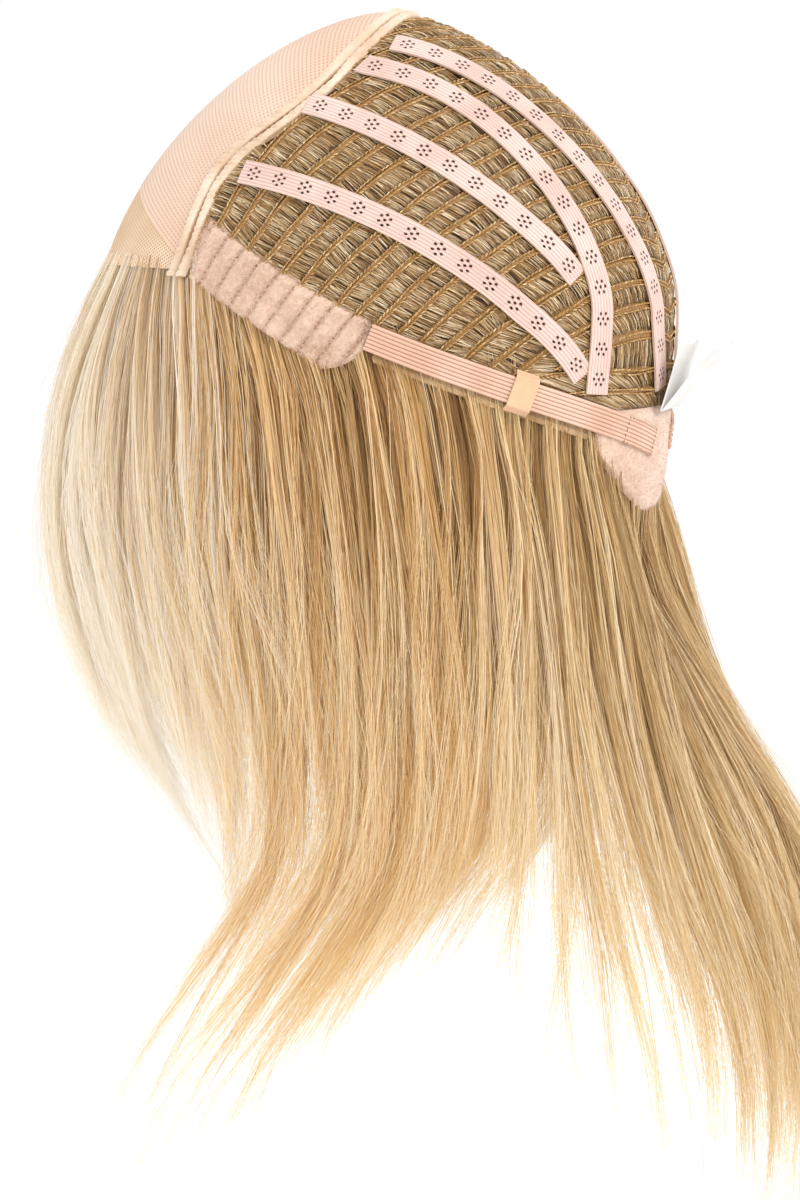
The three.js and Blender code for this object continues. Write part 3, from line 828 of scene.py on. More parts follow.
def binding_finish():
    material = tape_finish("binding_cotton", "ead4be", "d3b698", weave=1.3)
    colour = material.node_tree.nodes["Principled BSDF"].inputs["Base Color"]
    plain = Wire(colour.links[0].from_socket)
    v = read_map(plain, "flat")[1]
    # Painted shade: the groove between the two ridges and both edges of the tape are painted dark brown.
    ridge = (v * (2 * math.pi * mm / BINDING_WIDTH)).maths("SINE")
    groove_shade = 1 - ridge.maths("ABSOLUTE")
    feed(colour, (groove_shade.between(0.5, 1.0) * 0.8).blend(plain, paint("a27b52")))
    return material


binding_cotton = binding_finish()
print("binding finish:", binding_cotton.name)

# %% Binding
BINDING_FOOT = 10.5 * mm
BINDING_LIFT, RIDGE, RIDGE_POWER = 0.9 * mm, 1.8 * mm, 0.7
BINDING_WALL = 1 * mm
BINDING_GRID = (240, 16)
BINDING_WAVER, WAVER_FRONT = 0.5 * mm, 0.4
PUFF, PUFF_WAVER = 0.25, 0.12
STITCH_PITCH = 2.6 * mm


def puff_up(flat):
    x, across = flat[:, 0], flat[:, 1] / BINDING_WIDTH
    puff = 1 + PUFF * np.cos(2 * np.pi * x / STITCH_PITCH) + wander(x, seed=1, size=PUFF_WAVER)
    ridges = np.abs(np.sin(2 * np.pi * across)) ** RIDGE_POWER
    flat[:, 2] = BINDING_LIFT + RIDGE * ridges * puff
    flat[:, 1] += wander(x, seed=2, size=BINDING_WAVER) * (WAVER_FRONT + (1 - WAVER_FRONT) * (1 - across))


binding_edges = [binding_line(side * BINDING_WIDTH / 2, BINDING_FOOT) for side in (-1, 1)]
binding_length = length_of(binding_edges[1])
binding_size = (binding_length, BINDING_WIDTH)
tape = strip("binding_tape", binding_edges, binding_size, BINDING_GRID, puff_up, BINDING_WALL)
wear(tape, binding_cotton, "binding", "mono_binding")
print("binding:", round(binding_length, 3), "m,", triangles(tape), "triangles")

# %% [markdown]
# ## Wefts: ground, tracks and fringe
# A weft is hair folded over and sewn into a narrow track, with short hair ends below it. Seen from
# inside the cap, each track is a tan band with two chain-stitched lines, and the ends stand in rows
# with dark gaps. A painted stripe would look flat from the side, so the band is a raised strip, the
# chains are small modelled stitches, and the ends are real hairs that cross to the next track.
# The first tracks slip under the binding, so what would lie on top of it there is left off.

# %% Weft edges
TUCK_PASSES = 3
LENS_CLEAR = 1 * mm


def above_foot(p):
    bearing = bearing_of(p)
    foot = np.where(bearing > TAB_REAR, tab_top(bearing), np.maximum(band_top(bearing), NAPE_WEFTS[2]))
    return p[..., 2] > foot - WEFT_TUCK


def under_binding(p):
    for _ in range(TUCK_PASSES):
        over = np.maximum(0, ahead_of_binding(p) + BINDING_WIDTH / 2 - WEFT_TUCK)
        p = pull(p - over[..., None] * binding_across)
    return p


def level_line(z):
    side = last_where(lambda b: z > nape_top(b) + GAP / 2, 0, TAB_REAR)
    return at_bearing(np.linspace(-side, side, LINE_POINTS), z)


def weft_edges():
    edges = []
    for i in range(WEFT_COUNT):
        top = WEFT_TOP - i * WEFT_PITCH
        edges.append([under_binding(track_line(at, above_foot)) for at in (top - WEFT_PITCH, top)])
    low, middle, high = (level_line(z) for z in NAPE_WEFTS)
    lens = track_line(WEFT_BOTTOM, lambda p: p[2] > NAPE_WEFTS[2] + LENS_CLEAR)
    side = float(bearing_of(lens[0]))
    foot = at_bearing(np.linspace(-side, side, LINE_POINTS), NAPE_WEFTS[2])
    return edges + [(low, middle), (middle, high), (foot, lens)]


wefts = weft_edges()
print(len(wefts), "wefts, the longest", round(max(length_of(second) for _, second in wefts), 3), "m")

# %% Weft ground
TRACK_FROM = 0.66
GROUND_LIFT, TRACK_RISE = 0.4 * mm, 1.4 * mm
GROUND_GRID = (64, 9)
TRACK_WAVER = 0.5 * mm
TRACK_SEED = 100


def weft_ground(first, second, seed):
    length = length_of(second)

    def form(flat):
        across = flat[:, 1] / WEFT_PITCH
        band = np.clip((across - TRACK_FROM) / (1 - TRACK_FROM), 0, 1)
        flat[:, 2] = GROUND_LIFT + TRACK_RISE * np.sin(np.pi * band) ** 0.5
        inner = np.sin(np.pi * np.clip(across, 0, 1)) * np.sin(np.pi * flat[:, 0] / length)
        flat[:, 1] += wander(flat[:, 0], seed, TRACK_WAVER) * inner

    return strip("weft_ground", (first, second), (length, WEFT_PITCH), GROUND_GRID, form)


grounds = [weft_ground(*edges, TRACK_SEED + i) for i, edges in enumerate(wefts)]
take(*grounds)
bpy.ops.object.join()
ground = grounds[0]
print("weft ground:", triangles(ground), "triangles")

# %% Weft finishes
def ground_finish():
    material, shader, place = new_finish("weft_ground", Roughness=0.6)
    u, v = read_map(place, "flat")
    streak = place.add("CombineXYZ", None, {0: u * 2.2, 1: v * 0.15}).noise(scale=1.0, detail=3.0)
    track_edge = TRACK_FROM * WEFT_PITCH
    track = (v * mm).between(track_edge - 0.2 * mm, track_edge + 0.5 * mm)
    # Painted shade: below the track the ground is painted near-black brown for the shade in the gaps
    # between the fringe hairs, over the weft's own brown hair.
    below = streak.between(0.4, 0.7).blend(paint("38230d"), paint("8a6330"))
    above = clouded(streak, "7a5527", "a98049")
    dress(shader, track.blend(below, above), streak.bump(strength=0.5, depth=0.3 * mm))
    return material


def tone_finish(name, codes, roughness, middle=0.5):
    material, shader, place = new_finish(name, Roughness=roughness)
    tone = read_map(place, "OFBake")[0]
    feed(shader.inputs["Base Color"], ramp_of(tone, codes, middle))
    return material


chain_thread = tone_finish("chain_thread", ("8a6330", "b88d52", "e2c693"), roughness=0.55)
fringe_hair = tone_finish("fringe_hair", ("755024", "b48c55", "f8e6c4"), roughness=0.5)
let_light_through(fringe_hair, paint("f8e6c4"), share=0.15)
print("weft finishes:", chain_thread.name, fringe_hair.name)

# %% Chain stitches
CHAIN_ROWS = ({"across": 0.74, "slant": -0.24}, {"across": 0.92, "slant": 0.24})
SLANT_SPREAD = 0.08
CHAIN_PITCH = 1.55 * mm
CHAIN_STITCH = (1.9 * mm, 0.62 * mm, 0.6 * mm)
CHAIN_LIFT = 1.95
STITCH_TUCK = 0.3 * mm


def clear_of_binding(p):
    return ahead_of_binding(p) < STITCH_TUCK - BINDING_WIDTH / 2


def chain_rows(first, second, seed):
    rows = []
    for row in CHAIN_ROWS:
        across = row["across"]
        line = seat_line((first, second), (0, 1), (across, across), LINE_POINTS)
        places, forward, up = stitch_line(line, CHAIN_PITCH)
        side = np.cross(up, forward)
        tilt = row["slant"] + draw.normal(0, SLANT_SPREAD, len(places))[:, None]
        drift = wander(np.linspace(0, length_of(line), len(places)), seed, TRACK_WAVER)[:, None]
        keep = clear_of_binding(places)
        raised = places + up * CHAIN_LIFT * mm + side * drift
        rows.append((raised[keep], unit(forward + side * tilt)[keep], up[keep]))
    return rows


weft_nodes = [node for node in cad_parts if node.startswith("weft_")]
chain = model_stitch(*CHAIN_STITCH)
rows = [row for i, edges in enumerate(wefts) for row in chain_rows(*edges, TRACK_SEED + i)]
places, forward, up = all_rows(rows)
chain_tones = some_tones(middle=0.5, spread=0.2, count=len(places))
tracks = sew("weft_chains", chain, places, forward, up, chain_tones)
clear_away(chain)
wear(ground, ground_finish(), "weft", *weft_nodes)
wear(tracks, chain_thread, "weft", *weft_nodes)
print("tracks:", len(places), "stitches,", triangles(tracks), "triangles")

# %% Fringe
FRINGE_PITCH = 0.18 * mm
FRINGE_WIDTH = (0.07, 0.15)
FRINGE_TAPER = np.array([1.0, 1.0, 0.5])
FRINGE_LIFTS = (1.5, 1.7, 1.3)
FRINGE_START, FRINGE_END = (0.66, 0.74), (-0.08, 0.12)
FRINGE_FAN, FAN_SPREAD = 1.0 * mm, 0.4 * mm
FRINGE_FLUFF = (-0.25, 0.35)
FRINGE_TWIST = 0.35
FRINGE_SEED = 300


def fringe_of(first, second, seed):
    count = int(length_of(first) / FRINGE_PITCH)
    share = np.sort(draw.random(count))
    fan = wander(share * length_of(first), seed, FRINGE_FAN) + draw.normal(0, FAN_SPREAD, count)
    start, end = draw.uniform(*FRINGE_START, count), draw.uniform(*FRINGE_END, count)
    paths = []
    for step, lift in zip(np.linspace(0, 1, len(FRINGE_LIFTS)), FRINGE_LIFTS):
        place = share + fan * step / length_of(first)
        foot = seat(first, second, np.clip(place, 0, 1), start + (end - start) * step)
        height = lift * mm + draw.uniform(*FRINGE_FLUFF, count)[:, None] * mm
        paths.append(foot + cap_normal(foot) * height)
    paths = np.stack(paths, 1)
    return paths[clear_of_binding(paths[:, 1])]


paths = np.concatenate([fringe_of(*edges, FRINGE_SEED + i) for i, edges in enumerate(wefts)])
radius = draw.uniform(*FRINGE_WIDTH, len(paths))[:, None] * mm * FRINGE_TAPER
tilt = unit(cap_normal(pull(paths)) + draw.normal(0, FRINGE_TWIST, (len(paths), 1, 3)))
fringe = strands("weft_fringe", paths, radius, tilt, draw.random(len(paths)))
wear(fringe, fringe_hair, "weft", *weft_nodes)
print("fringe:", len(paths), "hairs,", triangles(fringe), "triangles")

# %% [markdown]
# ## Eyelet ribbons
# Pale elastic ribbons run over the tracks, pierced with little flowers of oblong slots. The flower
# repeats, so one tile of ribbon is modelled: a flat bar is subdivided, seven cutters are set in a
# ring, and a Boolean opens the slots. An Array makes the strip, and the strip is laid on its line.

# %% Slots of a ribbon
RIBBON_WIDTH = 8.2 * mm
RIBBON_LIFT = 2.7 * mm
RIBBON_WALL = 0.8 * mm
TILE = 9.8 * mm
RING, PETALS = 1.9 * mm, 6
SLOT = (1.35 * mm, 0.8 * mm, 4 * mm)
TINY = 0.01 * mm


def slot_cutters():
    cutters = []
    spots = [(RING, math.radians((k + 0.5) * 360 / PETALS)) for k in range(PETALS)] + [(0, 0)]
    for reach, turn in spots:
        put_down()
        place = (TILE / 2 + reach * math.cos(turn), RIBBON_WIDTH / 2 + reach * math.sin(turn), 0)
        bpy.ops.mesh.primitive_cylinder_add(vertices=10, radius=0.5, depth=1, location=place)
        cutters.append(bpy.context.object)
        cutters[-1].scale = SLOT
    take(*cutters)
    bpy.ops.object.join()
    bpy.ops.object.transform_apply(location=True, scale=True)
    return cutters[0]


print("one slot is", SLOT[0] / mm, "by", SLOT[1] / mm, "mm")

# %% Ribbon tile
def ribbon_bar():
    put_down()
    bpy.ops.mesh.primitive_cube_add(size=1)
    bar = bpy.context.object
    size_and_shift((TILE, RIBBON_WIDTH, RIBBON_WALL), (TILE / 2, RIBBON_WIDTH / 2, 0))
    edit_none()
    for edge in bar.data.edges:
        a, b = (bar.data.vertices[i].co for i in edge.vertices)
        edge.select = abs(a.z - b.z) < TINY
    bpy.ops.object.mode_set(mode="EDIT")
    bpy.ops.mesh.subdivide(number_cuts=3)
    bpy.ops.mesh.select_all(action="SELECT")
    bpy.ops.mesh.delete_loose()
    bpy.ops.object.mode_set(mode="OBJECT")
    return bar


def ribbon_tile():
    cutter, bar = slot_cutters(), ribbon_bar()
    apply(bar, "BOOLEAN", object=cutter, operation="DIFFERENCE", solver="EXACT")
    clear_away(cutter)
    edit_none()
    for polygon in bar.data.polygons:
        at_end = abs(polygon.normal.x) > 0.99
        polygon.select = at_end and min(polygon.center.x, TILE - polygon.center.x) < TINY
    bpy.ops.object.mode_set(mode="EDIT")
    bpy.ops.mesh.delete(type="FACE")
    bpy.ops.mesh.select_all(action="SELECT")
    bpy.ops.mesh.quads_convert_to_tris()
    bpy.ops.object.mode_set(mode="OBJECT")
    return bar


tile = ribbon_tile()
print("ribbon tile:", triangles(tile), "triangles")

# %% Ribbon lines
def arc_line(start, end, bow, reach):
    side = unit(np.cross(start, end))
    share = np.linspace(0, reach, LINE_POINTS)[:, None]
    return pull(start * (1 - share) + end * share + side * bow * np.sin(np.pi * share))


def upright_line(top_x, bottom_x, gather, from_angle, to_angle):
    share = np.linspace(0, 1, LINE_POINTS)
    turn = np.radians(from_angle + (to_angle - from_angle) * share)
    x = top_x + (bottom_x - top_x) * share**gather
    none = np.zeros_like(x)
    return on_cap(np.stack([x, none, none], -1), np.stack([none, np.cos(turn), np.sin(turn)], -1))


ribbon_lines = {
    "ribbon_side_low": arc_line(
        at_bearing(118.5, 44 * mm), at_bearing(32.4, -15 * mm), bow=4 * mm, reach=1.085
    ),
    "ribbon_side_high": arc_line(
        at_bearing(105, 66 * mm), at_bearing(32.8, 16.1 * mm), bow=0, reach=1.095
    ),
    "ribbon_back_outer": upright_line(34 * mm, 41 * mm, gather=0.6, from_angle=88, to_angle=-18),
    "ribbon_back_inner": upright_line(25 * mm, 10 * mm, gather=2.5, from_angle=83, to_angle=-15.5),
}
for name, line in ribbon_lines.items():
    print(name, round(length_of(line), 3), "m")

# %% Ribbon finish
RIBBON_RIBS = 7


# Mask for painted shadow: the inside and the rim of each slot of a flower.
def painted_slot_shadow(u, off_middle):
    off_flower = u.maths("FLOORED_MODULO", TILE / mm) - TILE / mm / 2
    reach = (off_flower * off_flower + off_middle * off_middle).maths("SQRT")
    turn = off_middle.maths("ARCTAN2", off_flower)
    petal = 0.5 - 0.5 * (turn * PETALS).maths("COSINE")
    ring = 1 - (reach - RING / mm).maths("ABSOLUTE").between(0.3, 0.6)
    return petal.between(0.5, 0.85) * ring + (1 - reach.between(0.3, 0.6))


def ribbon_finish():
    material, shader, place = new_finish("eyelet_ribbon", Roughness=0.7, Sheen_Weight=0.25)
    u, v = read_map(place, "flat")
    rib = v.wave(RIBBON_WIDTH / mm / RIBBON_RIBS)
    off_middle = v - RIBBON_WIDTH / mm / 2
    colour = clouded(place.noise(scale=45.0, detail=3.0), "e9cdc1", "dcb9ac")
    # Painted shade: the grooves between the ribs are painted darker.
    colour = (rib.between(0.6, 1.0) * 0.55).blend(colour, paint("a9796b"))
    colour = off_middle.maths("ABSOLUTE").between(3.6, 4.0).blend(colour, paint("dcbcab"))
    # Painted shadow: the slots and their rims are painted dark brown.
    colour = painted_slot_shadow(u, off_middle).blend(colour, paint("4a2e20"))
    dress(shader, colour, (1 - rib + 0.3 * u.wave(0.5)).bump(strength=0.6, depth=0.3 * mm))
    return material


ribbon_cloth = ribbon_finish()
print("ribbon finish:", ribbon_cloth.name)

# %% Ribbons
RIBBON_SINK = 0.3 * mm
RIBBON_WAVER = 0.12 * mm
TUCKED, TUCK_DIP = 9 * mm, 0.9 * mm


def lay_ribbon(name, side):
    node = name.removeprefix("eyelet_")
    line = even(on_side(side, ribbon_lines[node.rpartition("_")[0]])[0])
    piece = tile.copy()
    piece.data = tile.data.copy()
    piece.name = piece.data.name = name
    bpy.context.collection.objects.link(piece)
    count = max(1, round(length_of(line) / TILE))
    apply(
        piece, "ARRAY", count=count, use_relative_offset=False, use_constant_offset=True,
        constant_offset_displace=(TILE, 0, 0), use_merge_vertices=True, merge_threshold=TINY,
    )
    edit_all()
    bpy.ops.mesh.fill_holes(sides=0)
    bpy.ops.object.mode_set(mode="OBJECT")
    flat = points_of(piece)
    flat[:, 2] += RIBBON_LIFT - RIBBON_SINK + RIBBON_WALL / 2 + wander(flat[:, 0], len(node), RIBBON_WAVER)
    if "side" in node:
        flat[:, 2] -= TUCK_DIP * np.clip(1 - (count * TILE - flat[:, 0]) / TUCKED, 0, 1)
    set_points(piece, flat)
    lay(piece, *edges_of(line, RIBBON_WIDTH), count * TILE, RIBBON_WIDTH)
    return piece


ribbons = []
for name in ribbon_lines:
    ribbons += both_sides(lay_ribbon, f"eyelet_{name}", ribbon_cloth, "ribbon", name)
clear_away(tile)
print("ribbons:", len(ribbons), "with", triangles(*ribbons), "triangles")

# %% [markdown]
# ## Felt tabs and nape patch
# Soft brushed felt guards the skin at the temples and the nape. The tab is quilted: the rows of
# stitches that hold the wefts run on through it, and the felt sinks along each of them. A cloth
# simulation would blur such close rows, so the pad's swell and its grooves are worked out point by
# point, and a fuzz of very short hairs breaks up its outline.

# %% Felt pads
FELT_WALL, FELT_BASE = 2.6 * mm, 0.4 * mm
FELT_ROUND, FELT_EDGE = 3 * mm, 0.08
FELT_LUMPS = 0.1 * mm
GROOVE, GROOVE_WIDTH = 0.7 * mm, 0.8 * mm


def groove_at(p):
    row = (unbowed(p) - WEFT_TOP) / WEFT_PITCH
    return np.exp(-(((row - np.round(row)) * WEFT_PITCH / GROOVE_WIDTH) ** 2))


def felt_pad(name, first, second, grid, quilted):
    length = length_of(second)
    width = float(np.linalg.norm(first - second, axis=1).max())
    piece = flat_grid(name, length, width, *grid)
    flat = points_of(piece)
    share, across = flat[:, 0] / length, flat[:, 1] / width
    foot = seat(first, second, share, across)
    border = np.minimum(np.minimum(across, 1 - across) * width, np.minimum(share, 1 - share) * length)
    swell = np.sqrt(np.clip(border / FELT_ROUND, FELT_EDGE, 1))
    groove = groove_at(foot) if quilted else np.zeros(len(foot))
    lumps = wander(flat[:, 0], seed=41, size=FELT_LUMPS) * wander(flat[:, 1] * 3, seed=42, size=1.0)
    flat[:, 2] = FELT_BASE + (FELT_WALL - FELT_BASE) * swell - GROOVE * groove * swell + lumps
    set_points(piece, flat)
    lay(piece, first, second, length, width)
    # The groove depth is kept on the mesh as a mask for painted shade in the grooves.
    sunk = piece.data.attributes.new("sunk", "FLOAT", "POINT")
    sunk.data.foreach_set("value", groove.astype(np.float32))
    apply(piece, "SOLIDIFY", thickness=FELT_BASE, offset=-1)
    return piece


print("felt:", round(FELT_WALL / mm, 1), "mm high,", round((FELT_WALL - GROOVE) / mm, 1), "in its grooves")

# %% Felt pieces
TAB_GRID, NAPE_GRID = (110, 44), (70, 34)


def felt_finish():
    material, shader, place = new_finish("brushed_felt", Roughness=0.95, Sheen_Weight=0.5)
    fine, cloud = place.noise(scale=700.0, detail=4.0), place.noise(scale=70.0, detail=3.0)
    sunk = place.add("Attribute", {"attribute_name": "sunk"}, out=2)
    colour = clouded(cloud, "d8b8a2", "c5a18a")
    colour = (fine.between(0.4, 0.7) * 0.35).blend(colour, paint("ecd6c4"))
    relief = fine + cloud
    # Painted shade: the felt is painted darker where it sinks along the stitch rows.
    dress(shader, (sunk * 0.25).blend(colour, paint("a67c60")), relief.bump(strength=0.7, depth=0.4 * mm))
    return material


def tab_edge(front, height):
    bearing = TAB_REAR + (front - TAB_REAR) * np.linspace(0, 1, LINE_POINTS)
    return at_bearing(bearing, height(bearing))


def ear_tab(name, side):
    return felt_pad(name, *on_side(side, *tab_edges), TAB_GRID, True)


tab_edges = tab_edge(tab_bottom_front, tab_bottom), tab_edge(tab_top_front, tab_top)
nape_bearing = np.linspace(-NAPE_SIDE, NAPE_SIDE, LINE_POINTS)
nape_edges = [at_bearing(nape_bearing, height(np.abs(nape_bearing))) for height in (nape_bottom, nape_top)]
felt = felt_finish()
pads = [wear(felt_pad("felt_nape_patch", *nape_edges, NAPE_GRID, False), felt, "felt", "nape_patch")]
pads += both_sides(ear_tab, "felt_ear_tab", felt, "felt", "ear_tab")
print("felt:", len(pads), "pads,", triangles(*pads), "triangles")

# %% Quilting stitches
QUILT_PITCH = 1.9 * mm
QUILT_STITCH = (1.35 * mm, 0.34 * mm, 0.34 * mm)
QUILT_LIFT = FELT_WALL - GROOVE + 0.35 * mm
QUILT_KEPT = 0.9
TAB_MARGIN = 0.8 * mm
TAB_ROWS = range(-6, 30)
TAB_TURNS = np.linspace(40, 130, 1400)
TAB_HEMS = (
    {"share": (0.16, 0.97), "across": (0.82, 0.82), "count": 90},
    {"share": (0.03, 0.4), "across": (0.14, 0.14), "count": 60},
    {"share": (0.045, 0.045), "across": (0.12, 0.9), "count": 40},
)
FEWEST_POINTS, SHORTEST_ROW = 8, 4 * mm


def in_tab(line):
    bearing = bearing_of(line)
    inside = (line[:, 2] < tab_top(bearing) - TAB_MARGIN) & (line[:, 2] > tab_bottom(bearing) + TAB_MARGIN)
    inside &= (bearing > TAB_REAR + 1) & (bearing < tab_top_front)
    return inside & (ahead_of_binding(line) < -BINDING_WIDTH / 2 - TAB_MARGIN)


def tab_rows():
    lines = []
    for k in TAB_ROWS:
        line = on_cut(WEFT_SLOPE, bowed(WEFT_TOP - k * WEFT_PITCH, TAB_TURNS), TAB_TURNS)
        inside = in_tab(line)
        if inside.sum() > FEWEST_POINTS:
            lines.append(line[inside])
    lines += [even(seat_line(tab_edges, **hem)) for hem in TAB_HEMS]
    return [line for line in lines if length_of(line) > SHORTEST_ROW]


def quilting(name, side):
    places, forward, up = all_rows(stitch_line(line, QUILT_PITCH) for line in on_side(side, *tab_rows()))
    keep = draw.random(len(places)) < QUILT_KEPT
    tone = some_tones(middle=0.45, spread=0.2, count=len(places))
    return sew(name, quilt_stitch, (places + up * QUILT_LIFT)[keep], forward[keep], up[keep], tone[keep])


quilt_stitch = model_stitch(*QUILT_STITCH)
brown_thread = tone_finish("brown_thread", ("6d4828", "a0734f", "c9a17a"), roughness=0.7, middle=0.6)
seams = both_sides(quilting, "quilting", brown_thread, "felt", "ear_tab")
print("quilting:", triangles(*seams), "triangles")

# %% Fuzz
FUZZ_REACH = (0.7 * mm, 1.8 * mm)
FUZZ_WIDTH = np.array([0.09, 0.02]) * mm
FUZZ_RISE, FUZZ_EDGE, FUZZ_OVER = 2.0 * mm, 0.05, 0.01
FUZZ_UPRIGHT, FUZZ_SPREAD = 0.45, 0.6
NAPE_FUZZ, TAB_FUZZ = 5000, 7000


def fuzz(name, first, second, count):
    share = draw.uniform(0.0, 1.0, count)
    across = draw.uniform(-FUZZ_OVER, 1 + FUZZ_OVER, count)
    foot = seat(first, second, share, across)
    up = cap_normal(foot)
    border = np.minimum(across, 1 - across) * float(np.linalg.norm(first - second, axis=1).mean())
    lift = FELT_BASE + FUZZ_RISE * np.sqrt(np.clip(border / FELT_ROUND, FUZZ_EDGE, 1))
    lean = unit(up * FUZZ_UPRIGHT + draw.normal(0, FUZZ_SPREAD, (count, 3)))
    reach = draw.uniform(*FUZZ_REACH, count)[:, None]
    root = foot + up * lift[:, None]
    paths = np.stack([root, root + lean * reach], 1)
    facing = unit(draw.normal(0, 1, (count, 1, 3))) * np.ones((1, 2, 1))
    return strands(name, paths, FUZZ_WIDTH * np.ones((count, 1)), facing, draw.random(count))


def tab_fuzz(name, side):
    return fuzz(name, *on_side(side, *tab_edges), TAB_FUZZ)


felt_fuzz = tone_finish("felt_fuzz", ("c9a48d", "dcbfa9", "f1dfcf"), roughness=0.9)
fuzzes = [wear(fuzz("fuzz_nape_patch", *nape_edges, NAPE_FUZZ), felt_fuzz, "felt", "nape_patch")]
fuzzes += both_sides(tab_fuzz, "fuzz_ear_tab", felt_fuzz, "felt", "ear_tab")
print("fuzz:", triangles(*fuzzes), "triangles")

# %% [markdown]
# ## Elastic, edge band and keeper
# The adjusting strap is a woven elastic with lengthwise ribs, sewn down at the nape. It lies on the
# bound edge of the cap, and a little satin loop keeps it there. Ribs this coarse show in outline, so
# they are modelled across the strip and not left to a bump.

# %% Elastic
STRAP_WIDTH = 9 * mm
STRAP_RIBS = 7
STRAP_LIFT = RIBBON_LIFT + 0.5 * mm
RIB_HEIGHT, RIB_POWER = 0.5 * mm, 0.6
STRAP_WALL, STRAP_WAVER = 0.7 * mm, 0.1 * mm
STRAP_GRID = (60, STRAP_RIBS * 4)
STRAP_TUCK = 1.5


def rib_strap(flat):
    rib = np.abs(np.sin(np.pi * STRAP_RIBS * (flat[:, 1] / STRAP_WIDTH))) ** RIB_POWER
    flat[:, 2] = STRAP_LIFT + RIB_HEIGHT * rib + wander(flat[:, 0], seed=51, size=STRAP_WAVER)


def elastic_strap(name, side):
    edges = edges_of(*on_side(side, strap_line), STRAP_WIDTH)
    size = (length_of(strap_line), STRAP_WIDTH)
    return strip(name, edges, size, STRAP_GRID, rib_strap, STRAP_WALL)


def elastic_finish():
    material, shader, place = new_finish("ribbed_elastic", Roughness=0.65, Sheen_Weight=0.2)
    u, v = read_map(place, "flat")
    rib = (v * (math.pi * STRAP_RIBS * mm / STRAP_WIDTH)).maths("SINE")
    groove = 1 - rib.maths("ABSOLUTE")
    colour = clouded(place.noise(scale=60.0, detail=3.0), "e2bba4", "d5a98f")
    # Painted shade: the grooves between the modelled ribs are painted dark brown.
    colour = (groove.between(0.4, 0.9) * 0.6).blend(colour, paint("9c6a50"))
    dress(shader, colour, u.wave(0.55).bump(strength=0.35, depth=0.15 * mm))
    return material


strap_bearing = np.linspace(STRAP_END, STRAP_FRONT + STRAP_TUCK, LINE_POINTS)
strap_line = even(at_bearing(strap_bearing, strap_height(strap_bearing)))
straps = both_sides(elastic_strap, "ribbed_elastic", elastic_finish(), "elastic", "elastic")
print("elastic:", round(length_of(strap_line), 3), "m each,", triangles(*straps), "triangles")

# %% Edge band
BAND_WIDTH = BAND_RISE + BAND_DROP
BAND_LIFT, BAND_WALL = 0.9 * mm, 0.8 * mm
HEM_RISE, HEM_AT, HEM_WIDTH = 1.0 * mm, 0.1, 0.09
HEM_PITCH, HEM_PUFF = 2.4 * mm, 0.25
BAND_GRID = (90, 16)
BAND_ENDS = (NAPE_SIDE + 0.4, TAB_REAR - 0.5)


def hem_band(flat):
    hem = np.exp(-(((flat[:, 1] / BAND_WIDTH - HEM_AT) / HEM_WIDTH) ** 2))
    flat[:, 2] = BAND_LIFT + HEM_RISE * hem * (1 + HEM_PUFF * np.cos(2 * np.pi * flat[:, 0] / HEM_PITCH))


def edge_band(name, side):
    bearing = np.linspace(*BAND_ENDS, LINE_POINTS)
    edges = on_side(side, *(at_bearing(bearing, height(bearing)) for height in (band_bottom, band_top)))
    return strip(name, edges, (length_of(edges[1]), BAND_WIDTH), BAND_GRID, hem_band, BAND_WALL)


band_cloth = tape_finish("edge_binding", "cdac84", "9c7446", weave=0.9)
bands = both_sides(edge_band, "edge_binding", band_cloth, "band", "edge_band")
print("edge bands:", triangles(*bands), "triangles")

# %% Strap seam
SEAM_PITCH = 1.5 * mm
SEAM_LIFT = RIBBON_LIFT + 1.05 * mm
SEAM_POINTS, CROSS_POINTS = 40, 30
SEAM_ENDS, SEAM_SIDES, SEAM_CROSS = (0.02, 0.17), (0.04, 0.96), (0.05, 0.95)


def strap_seam(name, side):
    edges = edges_of(*on_side(side, strap_line), STRAP_WIDTH)
    lines = [seat_line(edges, SEAM_ENDS, (across, across), SEAM_POINTS) for across in SEAM_SIDES]
    lines += [seat_line(edges, (share, share), SEAM_CROSS, CROSS_POINTS) for share in SEAM_ENDS]
    places, forward, up = all_rows(stitch_line(line, SEAM_PITCH) for line in lines)
    tone = some_tones(middle=0.6, spread=0.2, count=len(places))
    return sew(name, quilt_stitch, places + up * SEAM_LIFT, forward, up, tone)


sewn = both_sides(strap_seam, "strap_seam", brown_thread, "elastic", "elastic")
clear_away(quilt_stitch)
print("strap seams:", triangles(*sewn), "triangles")

# %% Keeper loop
KEEPER_BEARING = 43
KEEPER_WIDTH, KEEPER_REACH = 8 * mm, 7 * mm
KEEPER_LIFT, KEEPER_RISE, KEEPER_SAG = 2.6 * mm, 2.2 * mm, 0.15 * mm
KEEPER_RAMP = 0.3
KEEPER_GRID, KEEPER_POINTS = (10, 40), 21
KEEPER_WALL, KEEPER_ROUND = 0.7 * mm, 0.2 * mm
KEEPER_CORNER = math.radians(60)


def strap_spot(bearing):
    return at_bearing(bearing, strap_height(bearing))


def arch_keeper(flat):
    share = np.abs(flat[:, 1] / KEEPER_REACH - 1)
    rise = np.clip((1 - share) / KEEPER_RAMP, 0, 1)
    rise = rise * rise * (3 - 2 * rise)
    sag = KEEPER_SAG * np.cos(2 * np.pi * (flat[:, 0] / KEEPER_WIDTH - 0.5))
    flat[:, 2] = KEEPER_LIFT + KEEPER_RISE * rise + sag * rise


